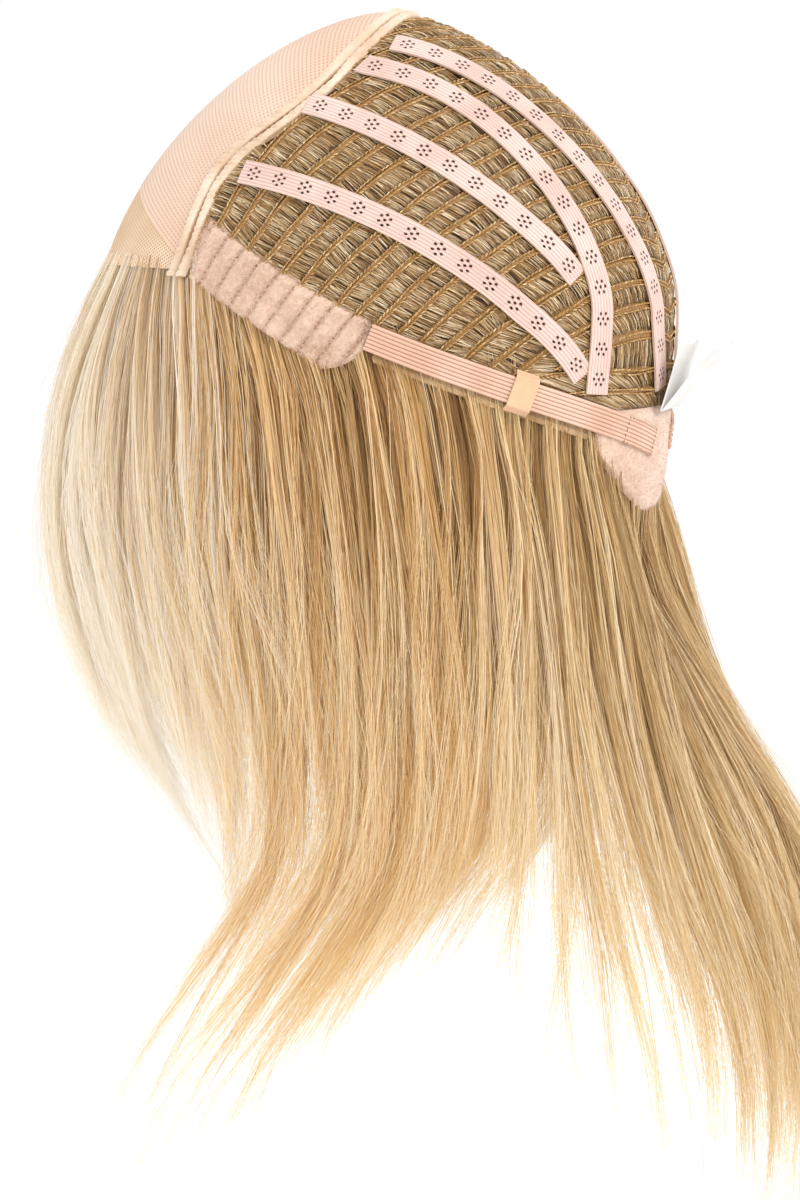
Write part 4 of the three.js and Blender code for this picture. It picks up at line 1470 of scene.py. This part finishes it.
def keeper_loop(name, side):
    middle = strap_spot(KEEPER_BEARING)
    ahead = unit(strap_spot(KEEPER_BEARING + 1) - strap_spot(KEEPER_BEARING - 1))
    across = unit(np.cross(ahead, cap_normal(middle)))
    slide = np.linspace(-0.5, 0.5, KEEPER_POINTS)[:, None] * KEEPER_WIDTH * ahead
    edges = on_side(side, *(pull(middle + slide + way * KEEPER_REACH * across) for way in (-1, 1)))
    piece = strip(name, edges, (KEEPER_WIDTH, 2 * KEEPER_REACH), KEEPER_GRID, arch_keeper, KEEPER_WALL)
    apply(
        piece, "BEVEL", width=KEEPER_ROUND, segments=2,
        limit_method="ANGLE", angle_limit=KEEPER_CORNER,
    )
    return piece


def satin_finish(name, light, dark):
    material, shader, place = new_finish(name, Roughness=0.45, Sheen_Weight=0.4)
    u, v = read_map(place, "flat")
    relief = u.wave(0.35) + 0.5 * v.wave(0.5)
    colour = clouded(place.noise(scale=80.0, detail=3.0), light, dark)
    dress(shader, colour, relief.bump(strength=0.3, depth=0.12 * mm))
    feed(shader.inputs["Roughness"], 0.4 + 0.2 * v.wave(0.4))
    return material


satin = satin_finish("keeper_satin", "e4bb96", "d6a881")
keepers = both_sides(keeper_loop, "satin_keeper", satin, "keeper", "strap_keeper")
print("keepers:", triangles(*keepers), "triangles")

# %% [markdown]
# ## Label
# A white woven label is folded and sewn in over the nape, so its two leaves spread like a small V.
# It is plain: its cloth, its fold and its soft curl are all that shows.
# One grid is enough, bent along a short curve that goes down one leaf and up the other.

# %% Label
LABEL_BREADTH = 30 * mm
LABEL_WALL = 0.4 * mm
LABEL_ROOT = np.array([0, 99.6, -35.8]) * mm
LABEL_REACH = 24 * mm
LABEL_CURL, LABEL_DROOP = 1.6 * mm, 1.2 * mm
LABEL_WAVES = 1.1
LABEL_GRID, LABEL_POINTS = (48, 24), 60
INNER_LEAF = [[8.4, 24.0], [4.4, 13.0], [1.2, 3.4], [0.5, 1.2]]
OUTER_LEAF = [[1.8, 2.4], [10.0, 12.5], [20.2, 23.2]]


def label_leaves():
    profile = np.array(INNER_LEAF + OUTER_LEAF) * mm
    run = even(np.column_stack([np.zeros(len(profile)), profile]), LABEL_POINTS)
    length = length_of(run)
    piece = flat_grid("woven_label", length, LABEL_BREADTH, *LABEL_GRID)
    flat = points_of(piece)
    map_points(piece, "flat", flat[:, :2] / mm)
    spot = along(run, flat[:, 0] / length) + LABEL_ROOT
    x = flat[:, 1] - LABEL_BREADTH / 2
    far = np.clip(np.linalg.norm(spot - LABEL_ROOT, axis=1) / LABEL_REACH, 0, 1)
    spot[:, 0] += x
    spot[:, 1] += far**2 * LABEL_CURL * np.cos(x / LABEL_BREADTH * 2 * LABEL_WAVES * np.pi)
    spot[:, 2] -= far**2 * LABEL_DROOP * (x / LABEL_BREADTH * 2) ** 2
    set_points(piece, spot - [0, 0, CROWN])
    apply(piece, "SOLIDIFY", thickness=LABEL_WALL, offset=0)
    return piece, length


label, label_length = label_leaves()
label_cloth = satin_finish("label_weave", "f0eeeb", "dfdbd6")
wear(label, label_cloth, "label", "label")
print("label:", round(label_length / mm, 1), "by", round(LABEL_BREADTH / mm, 1), "mm flat")

# %% [markdown]
# ## Hair
# The hair comes out of the cap's opening and falls in layers. The outer layer ends early, and the long
# layer under it sweeps forwards below the ear and backwards from the nape. Blender's own hair curves
# would be quick, but a finished model needs meshes. So the flow is a table with a row for each lock,
# which says where the long hair is at a few depths, and how deep both layers reach. The outer layer
# follows a part of the same sweep. A strand takes a place between the two layers and follows the flow.

# %% Hair table
DEPTHS = np.array([40, 80, 130, 180, 230, 280, 325]) * mm
SPREAD = np.array([1, 1.03, 1.05, 1.02, 0.95, 0.87, 0.8])
LOCKS = (
    {"bearing": 180, "tip": 215, "short": 160, "y": (-105, -111, -97, -66, -36, -24, -18)},
    {"bearing": 155, "tip": 222, "short": 165, "y": (-95, -98, -83, -55, -30, -26, -26)},
    {"bearing": 131, "tip": 226, "short": 145, "y": (-57, -57, -48, -36, -36, -50, -60)},
    {"bearing": 113, "tip": 302, "short": 150, "y": (-29, -28, -20, -21, -49, -74, -88)},
    {"bearing": 97, "tip": 318, "short": 165, "y": (-9, -8, -2, -2, -33, -63, -78)},
    {"bearing": 80, "tip": 326, "short": 180, "y": (13, 15, 19, 14, -20, -54, -64)},
    {"bearing": 64, "tip": 314, "short": 186, "y": (34, 37, 40, 31, -6, -40, -48)},
    {"bearing": 51, "tip": 246, "short": 184, "y": (52, 55, 57, 49, 18, -6, -14)},
    {"bearing": 39, "tip": 300, "short": 225, "y": (67, 71, 77, 86, 97, 105, 104)},
    {"bearing": 24, "tip": 332, "short": 300, "y": (84, 90, 103, 121, 139, 144, 136)},
    {"bearing": 0, "tip": 320, "short": 290, "y": (86, 84, 112, 147, 158, 156, 146)},
)
LOCK_COUNT = len(LOCKS) - 1
LOOP = 2 * LOCK_COUNT


def ease(start, end, slope, end_slope, t):
    square, cube = t**2, t**3
    fall = 2 * cube - 3 * square + 1
    return fall * start + (1 - fall) * end + (cube - 2 * square + t) * slope + (cube - square) * end_slope


def lock_value(key, place):
    half = [np.asarray(lock[key], float) for lock in LOCKS]
    ring = np.array(half + half[-2:0:-1])
    first = int(np.floor(place))
    before, start, end, after = (ring[(first + k) % LOOP] for k in (-1, 0, 1, 2))
    return ease(start, end, (end - before) / 2, (after - start) / 2, place - first)


def place_bearing(place):
    half = np.where(place <= LOCK_COUNT, place, LOOP - place)
    return np.interp(half, np.arange(LOCK_COUNT + 1), [lock["bearing"] for lock in LOCKS])


print("hair:", len(LOCKS), "locks from forehead to nape, mirrored on the left")

# %% Hair guides
TUCK = 12 * mm
INSIDE = 3.2 * mm


def along_stations(stations, values, at):
    slope = np.gradient(values, stations, axis=0)
    i = np.clip(np.searchsorted(stations, at) - 1, 0, len(stations) - 2)
    span = (stations[i + 1] - stations[i])[:, None]
    t = (at - stations[i])[:, None] / span
    return ease(values[i], values[i + 1], slope[i] * span, slope[i + 1] * span, t)


def rooted(bearing, z):
    p = at_bearing(bearing, z)
    return (p - cap_normal(p) * INSIDE)[:, :2]


def guide(place, depths, sweep):
    bearing = float(place_bearing(place))
    mirror = np.array([1 if place <= LOCK_COUNT else -1, 1])
    rim = -float(rim_height(bearing))
    free = DEPTHS > rim + TUCK
    y = lock_value("y", place)[free]
    y = y[0] + (y - y[0]) * sweep
    breadth = at_bearing(bearing, 0.0)[0] * mirror[0]
    hanging = np.stack([SPREAD[free] * breadth, y * mm], -1)
    stations = np.concatenate([[rim - TUCK, rim], DEPTHS[free]])
    roots = rooted(bearing, -stations[:2]) * mirror
    path = along_stations(stations, np.concatenate([roots, hanging]), depths)
    inside = depths < stations[0]
    path[inside] = rooted(bearing, -depths[inside]) * mirror
    return np.column_stack([path, -depths])


print("guides pass the rim", round(INSIDE / mm, 1), "mm inside the cap")

# %% Hair flow
FLOW_STEP = 5 * mm
FLOW_FROM, FLOW_TO = -30 * mm, 350 * mm
GUIDES_PER_LOCK = 8
LONG_SWEEP, SHORT_SWEEP = 1, 0.6


def flow_of(sweep):
    return np.stack([guide(place, flow_depths, sweep) for place in guide_places])


def tips_of(key):
    return np.array([float(lock_value(key, place)) for place in guide_places]) * mm


flow_depths = np.arange(FLOW_FROM, FLOW_TO, FLOW_STEP)
guide_places = np.arange(LOOP * GUIDES_PER_LOCK) / GUIDES_PER_LOCK
long_flow, short_flow = flow_of(LONG_SWEEP), flow_of(SHORT_SWEEP)
long_tip, short_tip = tips_of("tip"), tips_of("short")
flow_side = unit(np.roll(long_flow, -1, 0) - np.roll(long_flow, 1, 0))
flow_out = unit(np.cross(np.gradient(long_flow, axis=1), flow_side))
print("hair flow:", len(guide_places), "guides of", len(flow_depths), "points in two layers")

# %% [markdown]
# ### Strands
# Each strand knows its place round the rim, its layer, its clump and its tone. Clumps drift sideways
# and draw together towards their tips, so that locks form with thin ends, and some hairs stray. A soft
# limit holds the strays near the solid's box. The strands are flat, each with a random twist, so that
# some catch the light and others don't.

# %% Places round the rim
RIM_POINTS = 2001
rim_places = np.linspace(0, LOOP, RIM_POINTS)
rim_bearing = place_bearing(rim_places)
rim_turn = np.where(rim_places <= LOCK_COUNT, rim_bearing, 360 - rim_bearing)
rim_points = at_bearing(rim_turn, rim_height(rim_bearing))
rim_run = np.concatenate([[0], np.cumsum(np.linalg.norm(np.diff(rim_points, axis=0), axis=1))])


def round_the_rim(count):
    return np.interp(np.sort(draw.random(count)) * rim_run[-1], rim_run, rim_places) % LOOP


def off_front(place):
    return np.abs((place + LOCK_COUNT) % LOOP - LOCK_COUNT)


def in_flow(field, place, depth):
    x = (place * GUIDES_PER_LOCK) % len(guide_places)
    y = np.clip((depth - flow_depths[0]) / FLOW_STEP, 0, len(flow_depths) - 1.001)
    i, j = np.floor(x).astype(int), np.floor(y).astype(int)
    s, t = (x - i)[..., None], (y - j)[..., None]
    n = (i + 1) % len(guide_places)
    upper = field[i, j] * (1 - s) + field[n, j] * s
    lower = field[i, j + 1] * (1 - s) + field[n, j + 1] * s
    return upper * (1 - t) + lower * t


def round_value(values, place):
    ring = np.append(values, values[0])
    return np.interp(place % LOOP, np.arange(len(ring)) / GUIDES_PER_LOCK, ring)


def nearest_of(centres, place):
    nearest = np.searchsorted(centres, place) - draw.integers(0, 2, len(place))
    return np.clip(nearest, 0, len(centres) - 1)


print("the rim is", round(float(rim_run[-1]), 3), "m round")

# %% Clumps
CLUMPS, LOCK_GROUPS = 900, 70
GROUP_BEND, CLUMP_BEND = 4, 1.6
CLUMP_DRIFT = 9
CLUMP_CUT, LAYER_POWER = 0.16, 1.2
PHASE_SPREAD = 0.08
CLUMP_TONE, GROUP_TONE = 0.25, 0.1


def make_clumps():
    group_place = round_the_rim(LOCK_GROUPS)
    place = round_the_rim(CLUMPS)
    group = nearest_of(group_place, place)
    layer = draw.random(CLUMPS)
    short = round_value(short_tip, place)
    tip = short + (round_value(long_tip, place) - short) * (1 - layer) ** LAYER_POWER
    return SimpleNamespace(
        phase=draw.random(LOCK_GROUPS)[group] + draw.normal(0, PHASE_SPREAD, CLUMPS),
        bend=(draw.normal(0, GROUP_BEND, LOCK_GROUPS)[group] + draw.normal(0, CLUMP_BEND, CLUMPS)) * mm,
        place=place,
        lean=group_place[group] - place,
        layer=layer,
        tip=tip * (1 - CLUMP_CUT * draw.random(CLUMPS)),
        drift=draw.normal(0, CLUMP_DRIFT, CLUMPS) * mm,
        tone=draw.normal(0, CLUMP_TONE, CLUMPS) + draw.normal(0, GROUP_TONE, LOCK_GROUPS)[group],
    )


clumps = make_clumps()
print(CLUMPS, "clumps in", LOCK_GROUPS, "groups")

# %% Choose the strands
HAIR_COUNT = 29000
FRONT_LOCKS, REAR_LOCKS = 2.6, 3
LAYER_SPREAD = 0.12
STRAY_SHARE, FRONT_STRAYS = 0.065, 1.5
TIP_CUT, FRONT_CUT, CUT_POWER = 0.24, 0.2, 1.4
FRONT_TUCK, REAR_TUCK = (0.5, 4), (5, 22)


def choose_strands(count):
    place = round_the_rim(count)
    own = nearest_of(clumps.place, place)
    layer = np.clip(clumps.layer[own] + draw.normal(0, LAYER_SPREAD, count), 0, 1)
    front = np.clip(1 - off_front(place) / FRONT_LOCKS, 0, 1)
    stray = draw.random(count) < STRAY_SHARE * (1 + FRONT_STRAYS * front)
    cut = (TIP_CUT + FRONT_CUT * front) * draw.random(count) ** CUT_POWER
    tucked = np.where(front > 0, draw.uniform(*FRONT_TUCK, count), draw.uniform(*REAR_TUCK, count)) * mm
    return SimpleNamespace(
        count=count,
        place=place,
        own=own,
        layer=layer,
        front=front,
        stray=stray,
        tip=clumps.tip[own] * (1 - cut),
        root=-rim_height(place_bearing(place)) - tucked,
    )


hair = choose_strands(HAIR_COUNT)
print(hair.count, "strands,", int(hair.stray.sum()), "of them astray")

# %% Let the strands fall
STRAND_STEPS = 10
CLUMP_PULL, STRAY_PULL = (0.35, 0.9), 0.2
GROUP_LEAN = 0.35
PULL_POWER, LEAN_POWER, HANG_POWER = 1.1, 2.5, 1.6
run = np.linspace(0, 1, STRAND_STEPS)


def column(values):
    return np.asarray(values)[:, None]


def follow_flow():
    depth = column(hair.root) + column(hair.tip - hair.root) * run
    pull_in = column(np.where(hair.stray, STRAY_PULL, draw.uniform(*CLUMP_PULL, hair.count)))
    apart = (clumps.place[hair.own] - hair.place + LOCK_COUNT) % LOOP - LOCK_COUNT
    at = column(hair.place) + column(apart) * pull_in * run**PULL_POWER
    at = (at + column(clumps.lean[hair.own]) * GROUP_LEAN * run**LEAN_POWER) % LOOP
    hang = hair.layer**HANG_POWER * np.clip((LOCK_COUNT - off_front(hair.place)) / REAR_LOCKS, 0, 1)
    hang = column(hang)[..., None]
    paths = in_flow(long_flow, at, depth) * (1 - hang) + in_flow(short_flow, at, depth) * hang
    return paths, in_flow(flow_side, at, depth), in_flow(flow_out, at, depth), depth


paths, side, out, depth = follow_flow()
print("strands of", STRAND_STEPS, "points")

# %% Body, bends and strays
BODY, BODY_SPREAD = 5.0 * mm, 0.35
BODY_RUN, BODY_POWER = (0.15, 0.8), 0.6
THICKEST = (-1.2, 1.3)
FRONT_SWELL = 6 * mm
ROOT_COMB, ROOT_REACH = 16 * mm, 34 * mm
EAR_LOCK, EAR_LOCKS, EAR_PEAK = 4.4, 3, 1.2
BEND_TURNS, DRIFT_POWER, BEND_POWER = 1.1, 1.4, 0.8
STRAY_REACH, FRONT_REACH = (3, 17), 7
WAVER, WAVER_TURNS, WAVER_POWER = 1.2, (0.3, 1.1), 1.2
PROUD, EASE = 7 * mm, 9 * mm


def shift(paths, way, amount):
    return paths + way * amount[..., None]


def fill_out(paths):
    start, span = BODY_RUN
    body = np.sin(np.pi * np.clip(start + span * run, 0, 1)) ** BODY_POWER
    thick = (2 * column(hair.layer) - 1) * (1 - 0.5 * run)
    thick = thick + column(draw.normal(0, BODY_SPREAD, hair.count))
    paths = shift(paths, out, BODY * np.clip(thick, *THICKEST) * body)
    return shift(paths, out, column(hair.front) * FRONT_SWELL * np.sin(np.pi * run))


def comb(paths):
    phase, bend, drift = (column(values[hair.own]) for values in (clumps.phase, clumps.bend, clumps.drift))
    bend = bend * np.sin(2 * np.pi * (BEND_TURNS * run + phase))
    paths = shift(paths, side, drift * run**DRIFT_POWER + bend * run**BEND_POWER)
    by_ear = np.clip(EAR_PEAK - np.abs(off_front(hair.place) - EAR_LOCK) / EAR_LOCKS, 0, 1)
    onward = column(np.where(hair.place < LOCK_COUNT, 1, -1) * by_ear)
    return shift(paths, side, -ROOT_COMB * onward * np.exp((column(hair.root) - depth) / ROOT_REACH))


def let_stray(paths):
    for way in (side, out):
        far = draw.uniform(STRAY_REACH[0], STRAY_REACH[1] + FRONT_REACH * hair.front)
        size = np.where(hair.stray, far, draw.exponential(WAVER, hair.count)) * mm
        turns = column(draw.uniform(*WAVER_TURNS, hair.count)) * run + column(draw.random(hair.count))
        paths = shift(paths, way, column(size) * np.sin(2 * np.pi * turns) * run**WAVER_POWER)
    return paths


def hold_in(paths):
    low, high = np.array(cad_box)[:, :2] + [[-PROUD], [PROUD]]
    middle, half = (low + high) / 2, (high - low) / 2 - EASE
    off = paths[..., :2] - middle
    over = np.maximum(np.abs(off) - half, 0)
    eased = np.minimum(np.abs(off), half) + EASE * np.tanh(over / EASE)
    paths[..., :2] = middle + np.sign(off) * eased
    return paths


paths = hold_in(let_stray(comb(fill_out(paths))))
print("the hair reaches", round(-float(paths[..., 2].min()), 3), "m below the widest level")

# %% Hair tones and widths
STRAND_WIDTH = (0.07 * mm, 0.15 * mm)
STRAY_THIN = 0.7
TIP_TAPER = 0.7
STREAK, STREAK_TONE = 4, 0.27
TONE_MIDDLE, OUTER_TONE, OWN_TONE = 0.42, 0.14, 0.12
TWIST = 0.45

streak = draw.normal(0, STREAK_TONE, HAIR_COUNT // STREAK + 1)[np.arange(HAIR_COUNT) // STREAK]
# The outer layer's strands are painted lighter and the inner ones darker: painted shade inside the hair
# mass.
tone = TONE_MIDDLE + OUTER_TONE * hair.layer + clumps.tone[hair.own] + streak
tone = np.clip(tone + draw.normal(0, OWN_TONE, HAIR_COUNT), 0, 1)
width = draw.uniform(*STRAND_WIDTH, HAIR_COUNT) * np.where(hair.stray, STRAY_THIN, 1)
width = column(width) * (1 - TIP_TAPER * run**2)
twist = unit(out + draw.normal(0, TWIST, (HAIR_COUNT, 1, 3)))
print("tones from", round(float(tone.min()), 2), "to", round(float(tone.max()), 2))

# %% Hair finishes and pieces
SIDE_FROM, BACK_FROM = 2.6, 7.2
GROUP_BLUR = 0.7


def hair_finish(name, roots, tips, light_share):
    material, shader, place = new_finish(name, Roughness=0.36, Specular_IOR_Level=0.65)
    tone, run = read_map(place, "OFBake")
    # Roots are painted darker, partly the hair's own darker roots and partly painted shade under the rim.
    # Tips are painted lighter, partly lighter ends and partly painted light shining through them.
    colour = run.between(0.1, 0.95).blend(ramp_of(tone, roots), ramp_of(tone, tips))
    feed(shader.inputs["Base Color"], colour)
    let_light_through(material, paint(tips[1]), light_share)
    return material


# The front hair is a paler blonde, and it is painted lighter still as painted backlight.
pale_backlit = hair_finish("pale_blonde", ("c7a06c", "fae8c8", "fffdf8"), ("f0dcb4", "fff8ea", "ffffff"), 0.5)
honey = hair_finish("honey_blonde", ("6b4419", "cb9d59", "fae0b0"), ("d2a45c", "f6dba6", "fff8e0"), 0.35)
sand = hair_finish("sandy_blonde", ("7f5827", "d2ab70", "fae5ba"), ("ceaa6e", "f2dcae", "fff8e6"), 0.35)
from_front = off_front(hair.place) + draw.normal(0, GROUP_BLUR, HAIR_COUNT)
on_right = hair.place < LOCK_COUNT
at_side = (from_front >= SIDE_FROM) & (from_front < BACK_FROM)
groups = (
    {"name": "hair_front", "chosen": from_front < SIDE_FROM, "finish": pale_backlit},
    {"name": "hair_right", "chosen": at_side & on_right, "finish": honey},
    {"name": "hair_left", "chosen": at_side & ~on_right, "finish": honey},
    {"name": "hair_back", "chosen": from_front >= BACK_FROM, "finish": sand},
)
for group in groups:
    chosen = group["chosen"]
    lock = strands(group["name"], paths[chosen], width[chosen], twist[chosen], tone[chosen])
    wear(lock, group["finish"], "hair", "hair")
    print(group["name"], int(chosen.sum()), "strands,", triangles(lock), "triangles")

# %% [markdown]
# ## Stage and light
# A plain pale floor lies below the hair, and a white surround lights it softly from all sides.
# One large lamp from behind and above gives the tracks and the hair their shape, and a weaker one low
# at the front lifts the shade. A sharp lamp would shine on every strand.

# %% Stage and light
FLOOR_SIZE, FLOOR_LEVEL = 60, -520 * mm
LIT_SPOT = Vector((0, 0, -0.15))
WHITE = (1.0, 1.0, 1.0, 1.0)
LAMPS = (
    {"name": "key", "place": (0.8, 1.6, 1.4), "size": 1.0, "watts": 31},
    {"name": "fill", "place": (1.3, -1.5, -0.25), "size": 1.4, "watts": 13},
)
put_down()
bpy.ops.mesh.primitive_plane_add(size=FLOOR_SIZE, location=(0, 0, FLOOR_LEVEL))
floor = bpy.context.object
floor.name = "floor"
floor_white = new_finish("pale_floor", Roughness=1.0, Specular_IOR_Level=0.0, Base_Color=WHITE)[0]
floor.data.materials.append(floor_white)
world = bpy.data.worlds.new("surround")
bpy.context.scene.world = world
world.use_nodes = True
world.node_tree.nodes["Background"].inputs["Color"].default_value = WHITE
world.node_tree.nodes["Background"].inputs["Strength"].default_value = 1.0
for lamp in LAMPS:
    bpy.ops.object.light_add(type="AREA", location=lamp["place"])
    light = bpy.context.object
    light.name = lamp["name"]
    light.data.size = lamp["size"]
    light.data.energy = lamp["watts"]
    look_at(light, LIT_SPOT)
bpy.context.scene.view_settings.view_transform = "Standard"
print("stage and", len(LAMPS), "lamps")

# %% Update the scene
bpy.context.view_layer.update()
